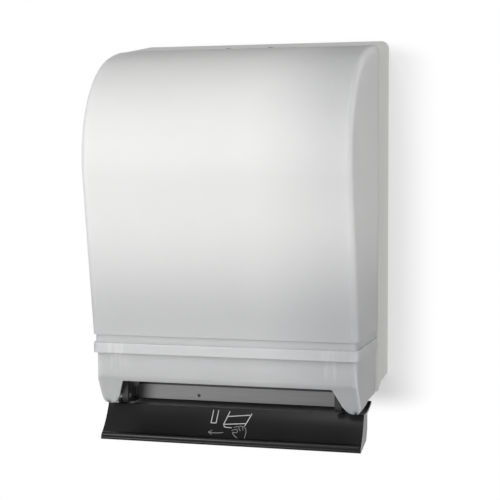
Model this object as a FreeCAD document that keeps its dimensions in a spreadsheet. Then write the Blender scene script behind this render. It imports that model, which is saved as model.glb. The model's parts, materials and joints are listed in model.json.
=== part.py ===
import FreeCAD, Part
import math
import os
import re
import Sketcher
from FreeCAD import Vector

# Lever paper towel dispenser, wall hung. X runs to the right, -Y away from the wall, Z up.
# The origin is the middle of the four wall screws, on the wall face of the case.
# "depth" is measured forward from the wall (-Y) and "rise" upward from the wall screws' middle.

doc = FreeCAD.newDocument("lever_towel_dispenser")

# ---------------------------------------------------------------- driving dimensions

DIMS = [
    # the five sizes that everything else hangs on
    ("case_half_width", 146), ("seam_rise", 185), ("hinge_drop", 190), ("case_depth", 78),
    ("hinge_depth", 149),
    # rear case
    ("top_fall", 13), ("bottom_lift", 11), ("seam_lift", 2), ("case_wall", 2.8), ("case_corner", 9),
    ("case_draft", 0.73), ("foot_step_lead", 25), ("foot_step_run", 16), ("foot_step_fall", 6),
    ("mouth_lead", 86), ("wall_screw_margin", 46), ("wall_screw_fall", 58),
    ("wall_screw_radius", 2.75), ("boss_radius", 5.5), ("screw_radius", 2), ("screw_fit", 0.05),
    ("rib_height", 3), ("rib_width", 2), ("rib_spacing", 55), ("rib_count", 3),
    ("key_slot_offset", 24), ("key_slot_width", 4.5), ("key_slot_length", 7),
    ("key_slot_lead", 14),
    # front cover
    ("top_angle", 14.04), ("front_angle", 11.4), ("dome_radius", 108), ("skirt_reach", 29),
    ("lip_step", 8), ("lip_lift", 70), ("cover_draft", 2.49), ("cover_wall", 3),
    ("cover_edge", 8), ("groove_height", 8.6), ("groove_inset", 2.4), ("band_height", 10.3),
    ("skirt_inset", 2.4), ("skirt_lean", 2.5), ("exit_lift", 20), ("hinge_pin_radius", 3),
    ("ear_radius", 8.5), ("ear_clearance", 3.7), ("ear_width", 9.5), ("tusk_angle", 34),
    ("tail_angle", 17.2), ("tail_run", 32), ("exit_flare", 24), ("cover_rib_width", 1.6),
    ("cover_rib_lead", 4.5), ("cover_rib_gap", 7), ("cover_rib_height", 30),
    # mechanism frames
    ("side_room", 34.5), ("frame_thickness", 6.8), ("frame_skin", 3), ("frame_back", 49),
    ("hinge_boss", 7), ("frame_head", 40), ("frame_nose_round", 14), ("upper_foot_fall", 23),
    ("lower_foot_lift", 32), ("foot_height", 18), ("foot_width", 12),
    # lever and its drive
    ("pivot_setback", 25), ("pivot_lift", 128), ("pivot_radius", 5), ("sweep_gap", 11.3),
    ("lever_wall", 2.5), ("lever_margin", 6.3), ("plate_back_angle", 15.8),
    ("plate_front_angle", 6.2), ("bar_nose_depth", 38.7), ("bar_nose_fall", 29.7),
    ("bar_hollow_radius", 75), ("bar_foot_fall", 34.7), ("bar_tail_depth", -1),
    ("bar_tail_fall", 29.2), ("bar_back_depth", -8), ("bar_back_fall", 17.7),
    ("bar_rib_spacing", 36), ("bar_rib_count", 7), ("arm_thickness", 3), ("arm_half_width", 11),
    ("arm_rear_angle", 8), ("arm_front_angle", 4), ("hub_radius", 14), ("side_gap", 1.5),
    ("gear_module", 1.5), ("sector_teeth", 96), ("pinion_teeth", 14), ("pressure_angle", 20),
    ("addendum", 0.85), ("dedendum", 1.15), ("backlash", 0.3), ("gear_width", 6),
    ("feed_setback", 22), ("sector_rear_angle", 25), ("sector_front_angle", 16),
    # rollers
    ("feed_radius", 21), ("drum_margin", 7.5), ("feed_shaft_radius", 4), ("sleeve_wall", 1),
    ("sleeve_length", 52), ("sleeve_end", 12), ("sleeve_count", 3), ("running_fit", 0.05),
    ("bush_wall", 3), ("pinch_radius", 8), ("pinch_shaft_radius", 3), ("pinch_angle", 15),
    ("nip_gap", 0.3), ("knob_radius", 17), ("knob_grips", 6), ("shaft_end_gap", 1),
    # paper path
    ("guide_lead", 6), ("guide_wall", 2.5), ("guide_gap", 4), ("plate_setback", 28.8),
    ("plate_thickness", 1.2), ("plate_lift", 8), ("plate_fall", 7.4), ("plate_step", 2.5),
    ("plate_corner", 8), ("plate_hole_offset", 43), ("plate_hole_radius", 1.2),
    ("tear_thickness", 1.2), ("tear_height", 12), ("tooth_pitch", 4), ("tooth_depth", 2.2),
    # drive cover
    ("drive_cover_wall", 2), ("drive_cover_head", 13), ("drive_cover_lift", 6),
    ("drive_cover_lead", 3), ("post_radius", 3.9), ("cap_radius", 28.5), ("cap_height", 2.4),
    # roll holders
    ("roll_setback", 74), ("roll_fall", 115), ("roll_arm_margin", 40),
    ("roll_arm_thickness", 3.5), ("roll_arm_hinge_depth", 14), ("roll_arm_root", 16),
    ("roll_arm_tip", 13), ("arm_pin_radius", 2), ("arm_barrel_radius", 5),
    ("arm_barrel_half", 11), ("lug_thickness", 5), ("plug_flange", 24), ("plug_radius", 18.5),
    ("plug_tip_radius", 15), ("plug_length", 15), ("plug_flange_width", 1.8),
    ("plug_shaft_radius", 4), ("seat_gap", 0.3),
    # transfer bar
    ("transfer_setback", 11), ("transfer_lift", 22), ("transfer_radius", 3),
    ("transfer_length", 44), ("transfer_margin", 21.5), ("transfer_wall", 2.4),
    # latch
    ("latch_lead", 32), ("latch_fall", 9), ("latch_half_width", 30), ("latch_length", 44),
    ("latch_heel", 14), ("latch_wall", 2.4), ("latch_pin_radius", 1.5),
    # springs, clip, stops and screws
    ("spring_wire", 0.8), ("spring_coil", 8), ("spring_turns", 4), ("latch_spring_radius", 3.2),
    ("latch_spring_wire", 0.5), ("latch_spring_turns", 4), ("clip_width", 1), ("clip_reach", 3.5),
    ("clip_gap", 6), ("bumper_radius", 4), ("bumper_reach", 95), ("small_screw_radius", 1.5),
    ("head_spread", 1.9), ("head_height", 0.7),
]

# Sizes that follow from the driving ones.
PLACES = [
    # across
    ("seam_half_width", "case_half_width - tan(case_draft) * case_depth"),
    ("wall_screw_half_span", "case_half_width - wall_screw_margin"),
    ("frame_inner", "case_half_width - side_room"),
    ("frame_outer", "frame_inner + frame_thickness"),
    ("gear_inner", "frame_outer + side_gap"),
    ("arm_inner", "gear_inner + gear_width + side_gap"),
    ("drive_cover_inner", "arm_inner + arm_thickness + side_gap"),
    ("ear_inner", "frame_outer + ear_clearance"),
    ("ear_outer", "ear_inner + ear_width"),
    ("exit_half_width", "frame_inner + seat_gap"),
    ("foot_screw_offset", "frame_inner - foot_width / 2"),
    ("lever_half_width", "case_half_width - lever_margin"),
    ("feed_half_length", "frame_inner - drum_margin"),
    ("sleeve_spacing", "feed_half_length - sleeve_length / 2 - sleeve_end"),
    ("plate_half_width", "frame_outer + plate_step"),
    ("plate_shoulder", "frame_outer - plate_step"),
    ("tear_half_width", "frame_outer - seat_gap"),
    ("roll_arm_inner", "case_half_width - roll_arm_margin"),
    ("transfer_width", "(frame_inner - transfer_margin) * 2"),
    # up and down
    ("case_rise", "seam_rise + top_fall"),
    ("case_drop", "hinge_drop - bottom_lift"),
    ("seam_drop", "hinge_drop - seam_lift"),
    ("wall_screw_rise", "case_rise - wall_screw_fall"),
    ("lip_drop", "hinge_drop - lip_lift"),
    ("band_drop", "lip_drop + groove_height + band_height"),
    ("skirt_drop", "hinge_drop - exit_lift"),
    ("pivot_drop", "hinge_drop - pivot_lift"),
    ("frame_rise", "frame_head - pivot_drop"),
    ("upper_foot_drop", "upper_foot_fall - frame_rise"),
    ("lower_foot_drop", "hinge_drop - lower_foot_lift"),
    ("lever_sweep", "pivot_lift + sweep_gap"),
    ("bar_nose_drop", "lever_sweep + bar_nose_fall"),
    ("bar_foot_drop", "lever_sweep + bar_foot_fall"),
    ("bar_tail_drop", "lever_sweep + bar_tail_fall"),
    ("bar_back_drop", "lever_sweep + bar_back_fall"),
    ("plate_rise", "plate_lift - hinge_drop"),
    ("plate_foot", "-plate_fall - hinge_drop"),
    ("drive_cover_rise", "frame_rise + drive_cover_head"),
    ("drive_cover_drop", "hinge_drop - drive_cover_lift"),
    ("roll_rise", "seam_rise - roll_fall"),
    ("transfer_rise", "transfer_lift - pivot_drop"),
    ("tear_screw_rise", "tear_height - skirt_drop - small_screw_radius * 3"),
    ("latch_pivot_rise", "seam_rise - latch_fall"),
    # out from the wall
    ("foot_step_depth", "case_depth - foot_step_lead"),
    ("key_slot_depth", "case_depth - key_slot_lead"),
    ("latch_pivot_depth", "case_depth - latch_lead"),
    ("skirt_depth", "hinge_depth + skirt_reach"),
    ("lip_depth", "skirt_depth + lip_step"),
    ("tail_depth", "hinge_depth - tail_run"),
    ("pivot_depth", "hinge_depth - pivot_setback"),
    ("feed_depth", "pivot_depth - feed_setback"),
    ("mouth_depth", "pivot_depth - mouth_lead"),
    ("frame_front", "hinge_depth + hinge_boss"),
    ("guide_back", "frame_back + guide_lead"),
    ("guide_rise", "frame_rise - guide_wall"),
    ("plate_front", "hinge_depth - plate_setback"),
    ("drive_cover_front", "frame_front + drive_cover_lead"),
    ("roll_depth", "lip_depth - roll_setback"),
    ("transfer_depth", "hinge_depth - transfer_setback"),
    ("nose_rise", "(seam_rise - tan(top_angle) * (lip_depth - case_depth + tan(front_angle)"
                  " * lip_drop)) / (1 + tan(top_angle) * tan(front_angle))"),
    ("nose_depth", "lip_depth + tan(front_angle) * (nose_rise + lip_drop)"),
    # the gear pair and the rollers
    ("pinion_pitch", "gear_module * pinion_teeth / 2"),
    ("sector_pitch", "gear_module * sector_teeth / 2"),
    ("feed_rise", "-pivot_drop - sqrt((sector_pitch + pinion_pitch) ^ 2"
                  " - (pivot_depth - feed_depth) ^ 2)"),
    ("pinch_reach", "feed_radius + pinch_radius + nip_gap"),
    ("pinch_depth", "feed_depth + pinch_reach * cos(pinch_angle)"),
    ("pinch_rise", "feed_rise + pinch_reach * sin(pinch_angle)"),
    ("bush_radius", "feed_shaft_radius + running_fit + bush_wall"),
    ("frame_sweep", "sqrt((hinge_depth - 1 - pivot_depth) ^ 2"
                    " + (hinge_drop + hinge_boss - pivot_drop) ^ 2)"),
    ("bumper_depth", "arm_half_width - (arm_half_width - (lever_sweep + lever_wall / 2)"
                     " * sin(arm_front_angle)) * bumper_reach / lever_sweep + bumper_radius"
                     " + seat_gap"),
]

dims = doc.addObject("Spreadsheet::Sheet", "dims")
places = doc.addObject("Spreadsheet::Sheet", "places")
OWNER = {name: "dims" for name, _ in DIMS}
OWNER.update({name: "places" for name, _ in PLACES})


def bound(formula, inside=None):
    """The formula with each size's name led by its sheet, except in the sheet named inside."""
    def lead(match):
        word = match.group(0)
        owner = OWNER.get(word)
        return word if owner is None or owner == inside else owner + "." + word
    return re.sub(r"[A-Za-z_]\w*", lead, str(formula))


for row, (name, size) in enumerate(DIMS, start=1):
    dims.set(f"A{row}", name)
    dims.set(f"B{row}", str(size))
    dims.setAlias(f"B{row}", name)
doc.recompute()
for row, (name, formula) in enumerate(PLACES, start=1):
    places.set(f"A{row}", name)
    places.set(f"B{row}", "=" + bound(formula, inside="places"))
    places.setAlias(f"B{row}", name)
doc.recompute()


def size(formula):
    """The value of a formula now, in millimetres or degrees."""
    return float(dims.evalExpression(bound(formula, inside="dims")))


def bind(thing, prop, formula):
    thing.setExpression(prop, bound(formula))


# ---------------------------------------------------------------- sketches

TURNED = {"left": "right", "right": "left"}


def side(points):
    """Outline points given as (depth, rise, ...), for a sketch on the YZ plane. Its first axis
    runs against depth, so a run that turns left as seen with depth to the right turns right."""
    return [(f"-({p[0]})",) + tuple(TURNED.get(part, part) for part in p[1:]) for p in points]


def corner_cut(before, here, after, radius):
    """Where a rounded corner leaves its two straight runs, and its centre."""
    into = (before - here).normalize()
    out = (after - here).normalize()
    half = into.getAngle(out) / 2
    run = radius / math.tan(half)
    middle = (into + out).normalize() * (radius / math.sin(half))
    return here + into * run, here + out * run, here + middle


def arc_between(start, end, centre, left):
    """The arc from start to end about centre, turning left (counter-clockwise) or right."""
    radius = (start - centre).Length
    first = math.atan2(start.y - centre.y, start.x - centre.x)
    last = math.atan2(end.y - centre.y, end.x - centre.x)
    if not left:
        first, last = last, first
    if last < first:
        last += 2 * math.pi
    return Part.ArcOfCircle(Part.Circle(centre, Vector(0, 0, 1), radius), first, last)


def draw(sketch, points, tag):
    """A closed outline. A point is (x, y), (x, y, "round", radius) for a rounded corner, or
    (x, y, "left" or "right", radius) where the run that leaves it is an arc turning that way."""
    here = [Vector(size(p[0]), size(p[1]), 0) for p in points]
    count = len(points)
    starts, ends, rounds = list(here), list(here), {}
    for i, point in enumerate(points):
        if len(point) > 2 and point[2] == "round":
            ends[i], starts[i], rounds[i] = corner_cut(
                here[i - 1], here[i], here[(i + 1) % count], size(point[3]))
    runs, corners = {}, {}
    for i, point in enumerate(points):
        start, end = starts[i], ends[(i + 1) % count]
        if len(point) > 2 and point[2] in ("left", "right"):
            radius, left = size(point[3]), point[2] == "left"
            chord = end - start
            rise = math.sqrt(max(radius ** 2 - (chord.Length / 2) ** 2, 0))
            normal = Vector(-chord.y, chord.x, 0).normalize()
            centre = start + chord / 2 + normal * (rise if left else -rise)
            runs[i] = sketch.addGeometry(arc_between(start, end, centre, left), False)
            turn = (1, 2) if left else (2, 1)
            number = sketch.addConstraint(Sketcher.Constraint("Radius", runs[i], radius))
            sketch.renameConstraint(number, f"{tag}arc{i}")
            bind(sketch, f"Constraints.{tag}arc{i}", point[3])
        else:
            runs[i] = sketch.addGeometry(Part.LineSegment(start, end), False)
            turn = (1, 2)
        corners[i] = turn
    for i in rounds:
        left = (here[i] - here[i - 1]).cross(here[(i + 1) % count] - here[i]).z > 0
        runs[f"r{i}"] = sketch.addGeometry(arc_between(ends[i], starts[i], rounds[i], left), False)
        corners[f"r{i}"] = (1, 2) if left else (2, 1)
    for i, point in enumerate(points):
        before = (i - 1) % count
        if i in rounds:
            arc, (arc_in, arc_out) = runs[f"r{i}"], corners[f"r{i}"]
            sketch.addConstraint(Sketcher.Constraint("Tangent", runs[before], corners[before][1],
                                                     arc, arc_in))
            sketch.addConstraint(Sketcher.Constraint("Tangent", arc, arc_out,
                                                     runs[i], corners[i][0]))
            number = sketch.addConstraint(Sketcher.Constraint("Radius", arc, size(point[3])))
            sketch.renameConstraint(number, f"{tag}round{i}")
            bind(sketch, f"Constraints.{tag}round{i}", point[3])
            spot, end = sketch.addGeometry(Part.Point(here[i]), True), 1
            sketch.addConstraint(Sketcher.Constraint("PointOnObject", spot, 1, runs[before]))
            sketch.addConstraint(Sketcher.Constraint("PointOnObject", spot, 1, runs[i]))
        else:
            sketch.addConstraint(Sketcher.Constraint("Coincident", runs[before],
                                                     corners[before][1], runs[i], corners[i][0]))
            spot, end = runs[i], corners[i][0]
        for axis, formula in (("X", point[0]), ("Y", point[1])):
            number = sketch.addConstraint(Sketcher.Constraint(f"Distance{axis}", -1, 1, spot, end,
                                                              size(formula)))
            sketch.renameConstraint(number, f"{tag}{axis}{i}")
            bind(sketch, f"Constraints.{tag}{axis}{i}", formula)


def draw_circle(sketch, x, y, radius, tag):
    circle = sketch.addGeometry(Part.Circle(Vector(size(x), size(y), 0), Vector(0, 0, 1),
                                            size(radius)), False)
    for kind, prop, formula in (("DistanceX", "X", x), ("DistanceY", "Y", y)):
        number = sketch.addConstraint(Sketcher.Constraint(kind, -1, 1, circle, 3, size(formula)))
        sketch.renameConstraint(number, f"{tag}{prop}")
        bind(sketch, f"Constraints.{tag}{prop}", formula)
    number = sketch.addConstraint(Sketcher.Constraint("Radius", circle, size(radius)))
    sketch.renameConstraint(number, f"{tag}radius")
    bind(sketch, f"Constraints.{tag}radius", radius)


def origin_feature(body, role):
    return next(f for f in body.Origin.OriginFeatures if f.Role == role)


def sketch_on(body, plane, name, outlines=(), circles=(), offset=None):
    """A sketch of closed outlines and circles on one of the body's own origin planes."""
    sketch = body.newObject("Sketcher::SketchObject", f"{body.Name}_{name}")
    sketch.AttachmentSupport = [(origin_feature(body, plane + "_Plane"), "")]
    sketch.MapMode = "FlatFace"
    if offset is not None:
        bind(sketch, "AttachmentOffset.Base.z", offset)
    for number, points in enumerate(outlines):
        draw(sketch, points, f"o{number}")
    for number, (x, y, radius) in enumerate(circles):
        draw_circle(sketch, x, y, radius, f"c{number}")
    return sketch


# ---------------------------------------------------------------- features

def new_body(name, x=None, depth=None, rise=None):
    body = doc.addObject("PartDesign::Body", name)
    body.Label = name
    for axis, formula in (("x", x), ("y", None if depth is None else f"-({depth})"), ("z", rise)):
        if formula is not None:
            bind(body, f"Placement.Base.{axis}", formula)
    return body


def extrude(body, kind, name, sketch, length=None, both=False, back=False, taper=None):
    """A Pad or Pocket. With no length it goes through everything, both ways."""
    feature = body.newObject(f"PartDesign::{kind}", f"{body.Name}_{name}")
    feature.Profile = sketch
    if length is None:
        feature.Type = "ThroughAll"
        both = True
    else:
        bind(feature, "Length", length)
    if both:
        feature.SideType = "Symmetric"
    feature.Reversed = back
    if taper is not None:
        bind(feature, "TaperAngle", taper)
    return feature


def pad(body, name, sketch, length, **how):
    return extrude(body, "Pad", name, sketch, length, **how)


def pocket(body, name, sketch, length=None, **how):
    return extrude(body, "Pocket", name, sketch, length, **how)


def spin(body, name, points, kind="Revolution"):
    """Turns an outline of (x, radius) points once round the body's X axis."""
    feature = body.newObject(f"PartDesign::{kind}", f"{body.Name}_{name}")
    feature.Profile = sketch_on(body, "XY", name + "_outline", [points])
    feature.ReferenceAxis = (origin_feature(body, "X_Axis"), [""])
    feature.Angle = 360
    return feature


def array(body, name, feature, axis, spacing, count):
    """Copies a feature along one of the body's axes, spaced evenly."""
    pattern = body.newObject("PartDesign::LinearPattern", f"{body.Name}_{name}")
    pattern.Originals = [feature]
    pattern.Direction = (origin_feature(body, axis + "_Axis"), [""])
    pattern.Mode = "Spacing"
    bind(pattern, "Offset", spacing)
    bind(pattern, "Occurrences", count)
    body.Tip = pattern
    return pattern


def shell_inward(body, name, base, wall, keep):
    """Hollows the body, leaving open the faces for which keep(face) is true."""
    doc.recompute()
    feature = body.newObject("PartDesign::Thickness", f"{body.Name}_{name}")
    feature.Base = (base, [f"Face{i}" for i, f in enumerate(base.Shape.Faces, 1) if keep(f)])
    bind(feature, "Value", wall)
    feature.Reversed = True
    return feature


def dress_edges(body, name, base, amount, chosen, kind="Fillet"):
    """Rounds or bevels the edges of the last feature whose bounding boxes are chosen."""
    doc.recompute()
    feature = body.newObject(f"PartDesign::{kind}", f"{body.Name}_{name}")
    feature.Base = (base, [f"Edge{i}" for i, e in enumerate(base.Shape.Edges, 1)
                           if chosen(e.BoundBox)])
    bind(feature, "Radius" if kind == "Fillet" else "Size", amount)
    return feature


def box_points(x0, y0, x1, y1):
    return [(x0, y0), (x1, y0), (x1, y1), (x0, y1)]


def tube_points(x0, x1, inner, outer):
    return [(x0, inner), (x1, inner), (x1, outer), (x0, outer)]


def mirrored(points):
    return [(f"-({p[0]})",) + tuple(p[1:]) for p in points]


HANDS = (("left", "-1"), ("right", "1"))


# ---------------------------------------------------------------- rear case

def make_case():
    body = new_body("case")
    floor_plan = sketch_on(body, "XY", "plan", offset="-seam_drop - case_wall * 2", outlines=[[
        ("case_half_width", "0"), ("seam_half_width", "-case_depth"),
        ("-seam_half_width", "-case_depth"), ("-case_half_width", "0")]])
    pad(body, "block", floor_plan, "case_rise + seam_drop + case_wall * 2")
    beyond = "case_depth * 1.2"
    fall = "(case_rise - seam_rise) / case_depth"
    top = sketch_on(body, "YZ", "top", [side([
        ("0", "case_rise"), (beyond, f"case_rise - {fall} * {beyond}"),
        (beyond, "case_rise + case_depth"), ("0", "case_rise + case_depth")])])
    pocket(body, "top_fall", top)
    foot = sketch_on(body, "YZ", "foot", [side([
        ("-case_wall", "-case_drop"), ("0", "-case_drop"), ("foot_step_depth", "-case_drop - case_wall / 2"),
        ("foot_step_depth + foot_step_run", "-case_drop - case_wall / 2 - foot_step_fall"),
        (beyond, "-seam_drop"), (beyond, "-seam_drop - case_depth"),
        ("-case_wall", "-seam_drop - case_depth")])])
    foot_cut = pocket(body, "foot_line", foot)
    corners = dress_edges(body, "corners", foot_cut, "case_corner", lambda box: (
        box.YLength > size("case_depth") - 1 and box.ZMax > size("seam_rise") + 1))
    reach = size("case_depth") - 0.1
    shell_inward(body, "shell", corners, "case_wall", lambda f: f.CenterOfMass.y < -reach)

    mouth = sketch_on(body, "YZ", "mouth", [side(box_points(
        "mouth_depth", "-case_drop + case_wall * 2", beyond, "-seam_drop - case_wall"))])
    pocket(body, "paper_mouth", mouth, "(seam_half_width - case_wall) * 2", both=True)

    feet = [(f"{hand} * foot_screw_offset", f"-{level}_foot_drop")
            for _, hand in HANDS for level in ("upper", "lower")]
    bosses = sketch_on(body, "XZ", "bosses", circles=[(x, z, "boss_radius") for x, z in feet])
    pad(body, "frame_bosses", bosses, "frame_back")
    pilots = sketch_on(body, "XZ", "pilots", offset="frame_back",
                       circles=[(x, z, "screw_radius + screw_fit") for x, z in feet])
    pocket(body, "boss_pilots", pilots, "frame_back * 0.7")

    lugs = []
    for _, hand in HANDS:
        for up in ("1", "-1"):
            near = f"roll_rise + {up} * (arm_barrel_half + seat_gap)"
            far = f"roll_rise + {up} * (arm_barrel_half + seat_gap + lug_thickness)"
            inner, outer = (f"{hand} * (roll_arm_inner + roll_arm_thickness / 2 {sign}"
                            " arm_barrel_radius)" for sign in ("-", "+"))
            lugs.append(box_points(inner, near, outer, far))
    lug_sketch = sketch_on(body, "XZ", "lugs", lugs)
    pad(body, "arm_lugs", lug_sketch, "roll_arm_hinge_depth + arm_barrel_radius")
    pin_holes = sketch_on(body, "XY", "lug_holes", offset="roll_rise", circles=[
        (f"{hand} * (roll_arm_inner + roll_arm_thickness / 2)", "-roll_arm_hinge_depth",
         "arm_pin_radius + running_fit") for _, hand in HANDS])
    pocket(body, "lug_bores", pin_holes, "(arm_barrel_half + seat_gap + lug_thickness) * 2 + 1",
           both=True)

    ear_top = f"case_rise - {fall} * latch_pivot_depth - case_wall"
    ears = sketch_on(body, "YZ", "ears", offset="latch_half_width + seat_gap", outlines=[side([
        ("latch_pivot_depth - latch_pin_radius * 2.5", "latch_pivot_rise - latch_pin_radius * 2.5"),
        ("latch_pivot_depth + latch_pin_radius * 2.5", "latch_pivot_rise - latch_pin_radius * 2.5"),
        ("latch_pivot_depth + latch_pin_radius * 2.5", ear_top),
        ("latch_pivot_depth - latch_pin_radius * 2.5", ear_top)])])
    right_ear = pad(body, "latch_ear", ears, "lug_thickness")
    twin = body.newObject("PartDesign::Mirrored", "case_latch_ears")
    twin.Originals = [right_ear]
    twin.MirrorPlane = (origin_feature(body, "YZ_Plane"), [""])
    body.Tip = twin
    latch_bore = sketch_on(body, "YZ", "latch_bore", circles=[
        ("-latch_pivot_depth", "latch_pivot_rise", "latch_pin_radius + running_fit")])
    pocket(body, "latch_bores", latch_bore, "(latch_half_width + seat_gap + lug_thickness) * 2 + 1",
           both=True)

    slots = sketch_on(body, "XY", "key_slots", offset="case_rise", outlines=[box_points(
        f"{hand} * key_slot_offset - key_slot_width / 2", "-key_slot_depth - key_slot_length / 2",
        f"{hand} * key_slot_offset + key_slot_width / 2", "-key_slot_depth + key_slot_length / 2")
        for _, hand in HANDS])
    pocket(body, "key_slots", slots, "case_rise - seam_rise + case_wall * 3")

    screws = sketch_on(body, "XZ", "wall_screws", circles=[
        (f"{hand} * wall_screw_half_span", f"{up} * wall_screw_rise", "wall_screw_radius")
        for _, hand in HANDS for up in ("1", "-1")])
    pocket(body, "wall_holes", screws, "case_wall * 3", both=True)

    rib = sketch_on(body, "XZ", "rib", offset="case_wall / 2", outlines=[box_points(
        "-rib_spacing * (rib_count - 1) / 2 - rib_width / 2", "-upper_foot_drop + boss_radius * 2",
        "-rib_spacing * (rib_count - 1) / 2 + rib_width / 2", "wall_screw_rise")])
    first = pad(body, "back_rib", rib, "case_wall / 2 + rib_height")
    array(body, "back_ribs", first, "X", "rib_spacing", "rib_count")
    return body


# ---------------------------------------------------------------- front cover

def half_width_at(depth):
    """The formula of half the cover's outer width at a depth."""
    return f"(seam_half_width - tan(cover_draft) * (({depth}) - case_depth))"


def plan(front, inset, corner, back="case_depth"):
    """A plan outline that follows the drafted sides, with a flat front and rounded corners."""
    rear, nose = (f"({half_width_at(depth)} - ({inset}))" for depth in (back, front))
    return [(rear, f"-({back})"), (nose, f"-({front})", "round", corner),
            (f"-{nose}", f"-({front})", "round", corner), (f"-{rear}", f"-({back})")]


def plan_block(body, name, rise, height, front, inset, corner, back="case_depth"):
    sketch = sketch_on(body, "XY", name + "_plan", [plan(front, inset, corner, back)], offset=rise)
    return pad(body, name, sketch, height, back=True)


def dome(body, back, inset, foot, edge, kind="Fillet"):
    """The upper block: the plan's drafted sides cut to the side profile, long edges dressed."""
    half, nose = (f"({half_width_at(depth)} - ({inset}))" for depth in (back, "nose_depth"))
    base = sketch_on(body, "XY", "plan", offset=foot, outlines=[[
        (half, f"-({back})"), (nose, "-nose_depth"), (f"-{nose}", "-nose_depth"),
        (f"-{half}", f"-({back})")]])
    pad(body, "block", base, f"case_rise - ({foot})")
    spread = "cos(top_angle - front_angle)"
    in_depth = f"({inset}) * (cos(top_angle) + sin(front_angle)) / {spread}"
    in_rise = f"({inset}) * (cos(front_angle) - sin(top_angle)) / {spread}"
    front_inset = f"({inset}) / cos(front_angle)"
    profile = side([
        (back, f"seam_rise - ({inset}) / cos(top_angle) + tan(top_angle) * (case_depth - ({back}))"),
        (f"nose_depth - {in_depth}", f"nose_rise - {in_rise}", "round", f"dome_radius - ({inset})"),
        (f"lip_depth + tan(front_angle) * (lip_drop + ({foot})) - {front_inset}", foot),
        (f"lip_depth + tan(front_angle) * (lip_drop + ({foot})) - {front_inset}", "-seam_drop * 2"),
        ("nose_depth * 2", "-seam_drop * 2"), ("nose_depth * 2", "case_rise * 2"),
        (back, "case_rise * 2")])
    trimmed = pocket(body, "profile_cut", sketch_on(body, "YZ", "profile", [profile]))
    return dress_edges(body, "long_edges", trimmed, edge, lambda box: (
        box.XLength < box.YLength and box.YLength > 1 and box.ZLength > 1), kind)


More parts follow.
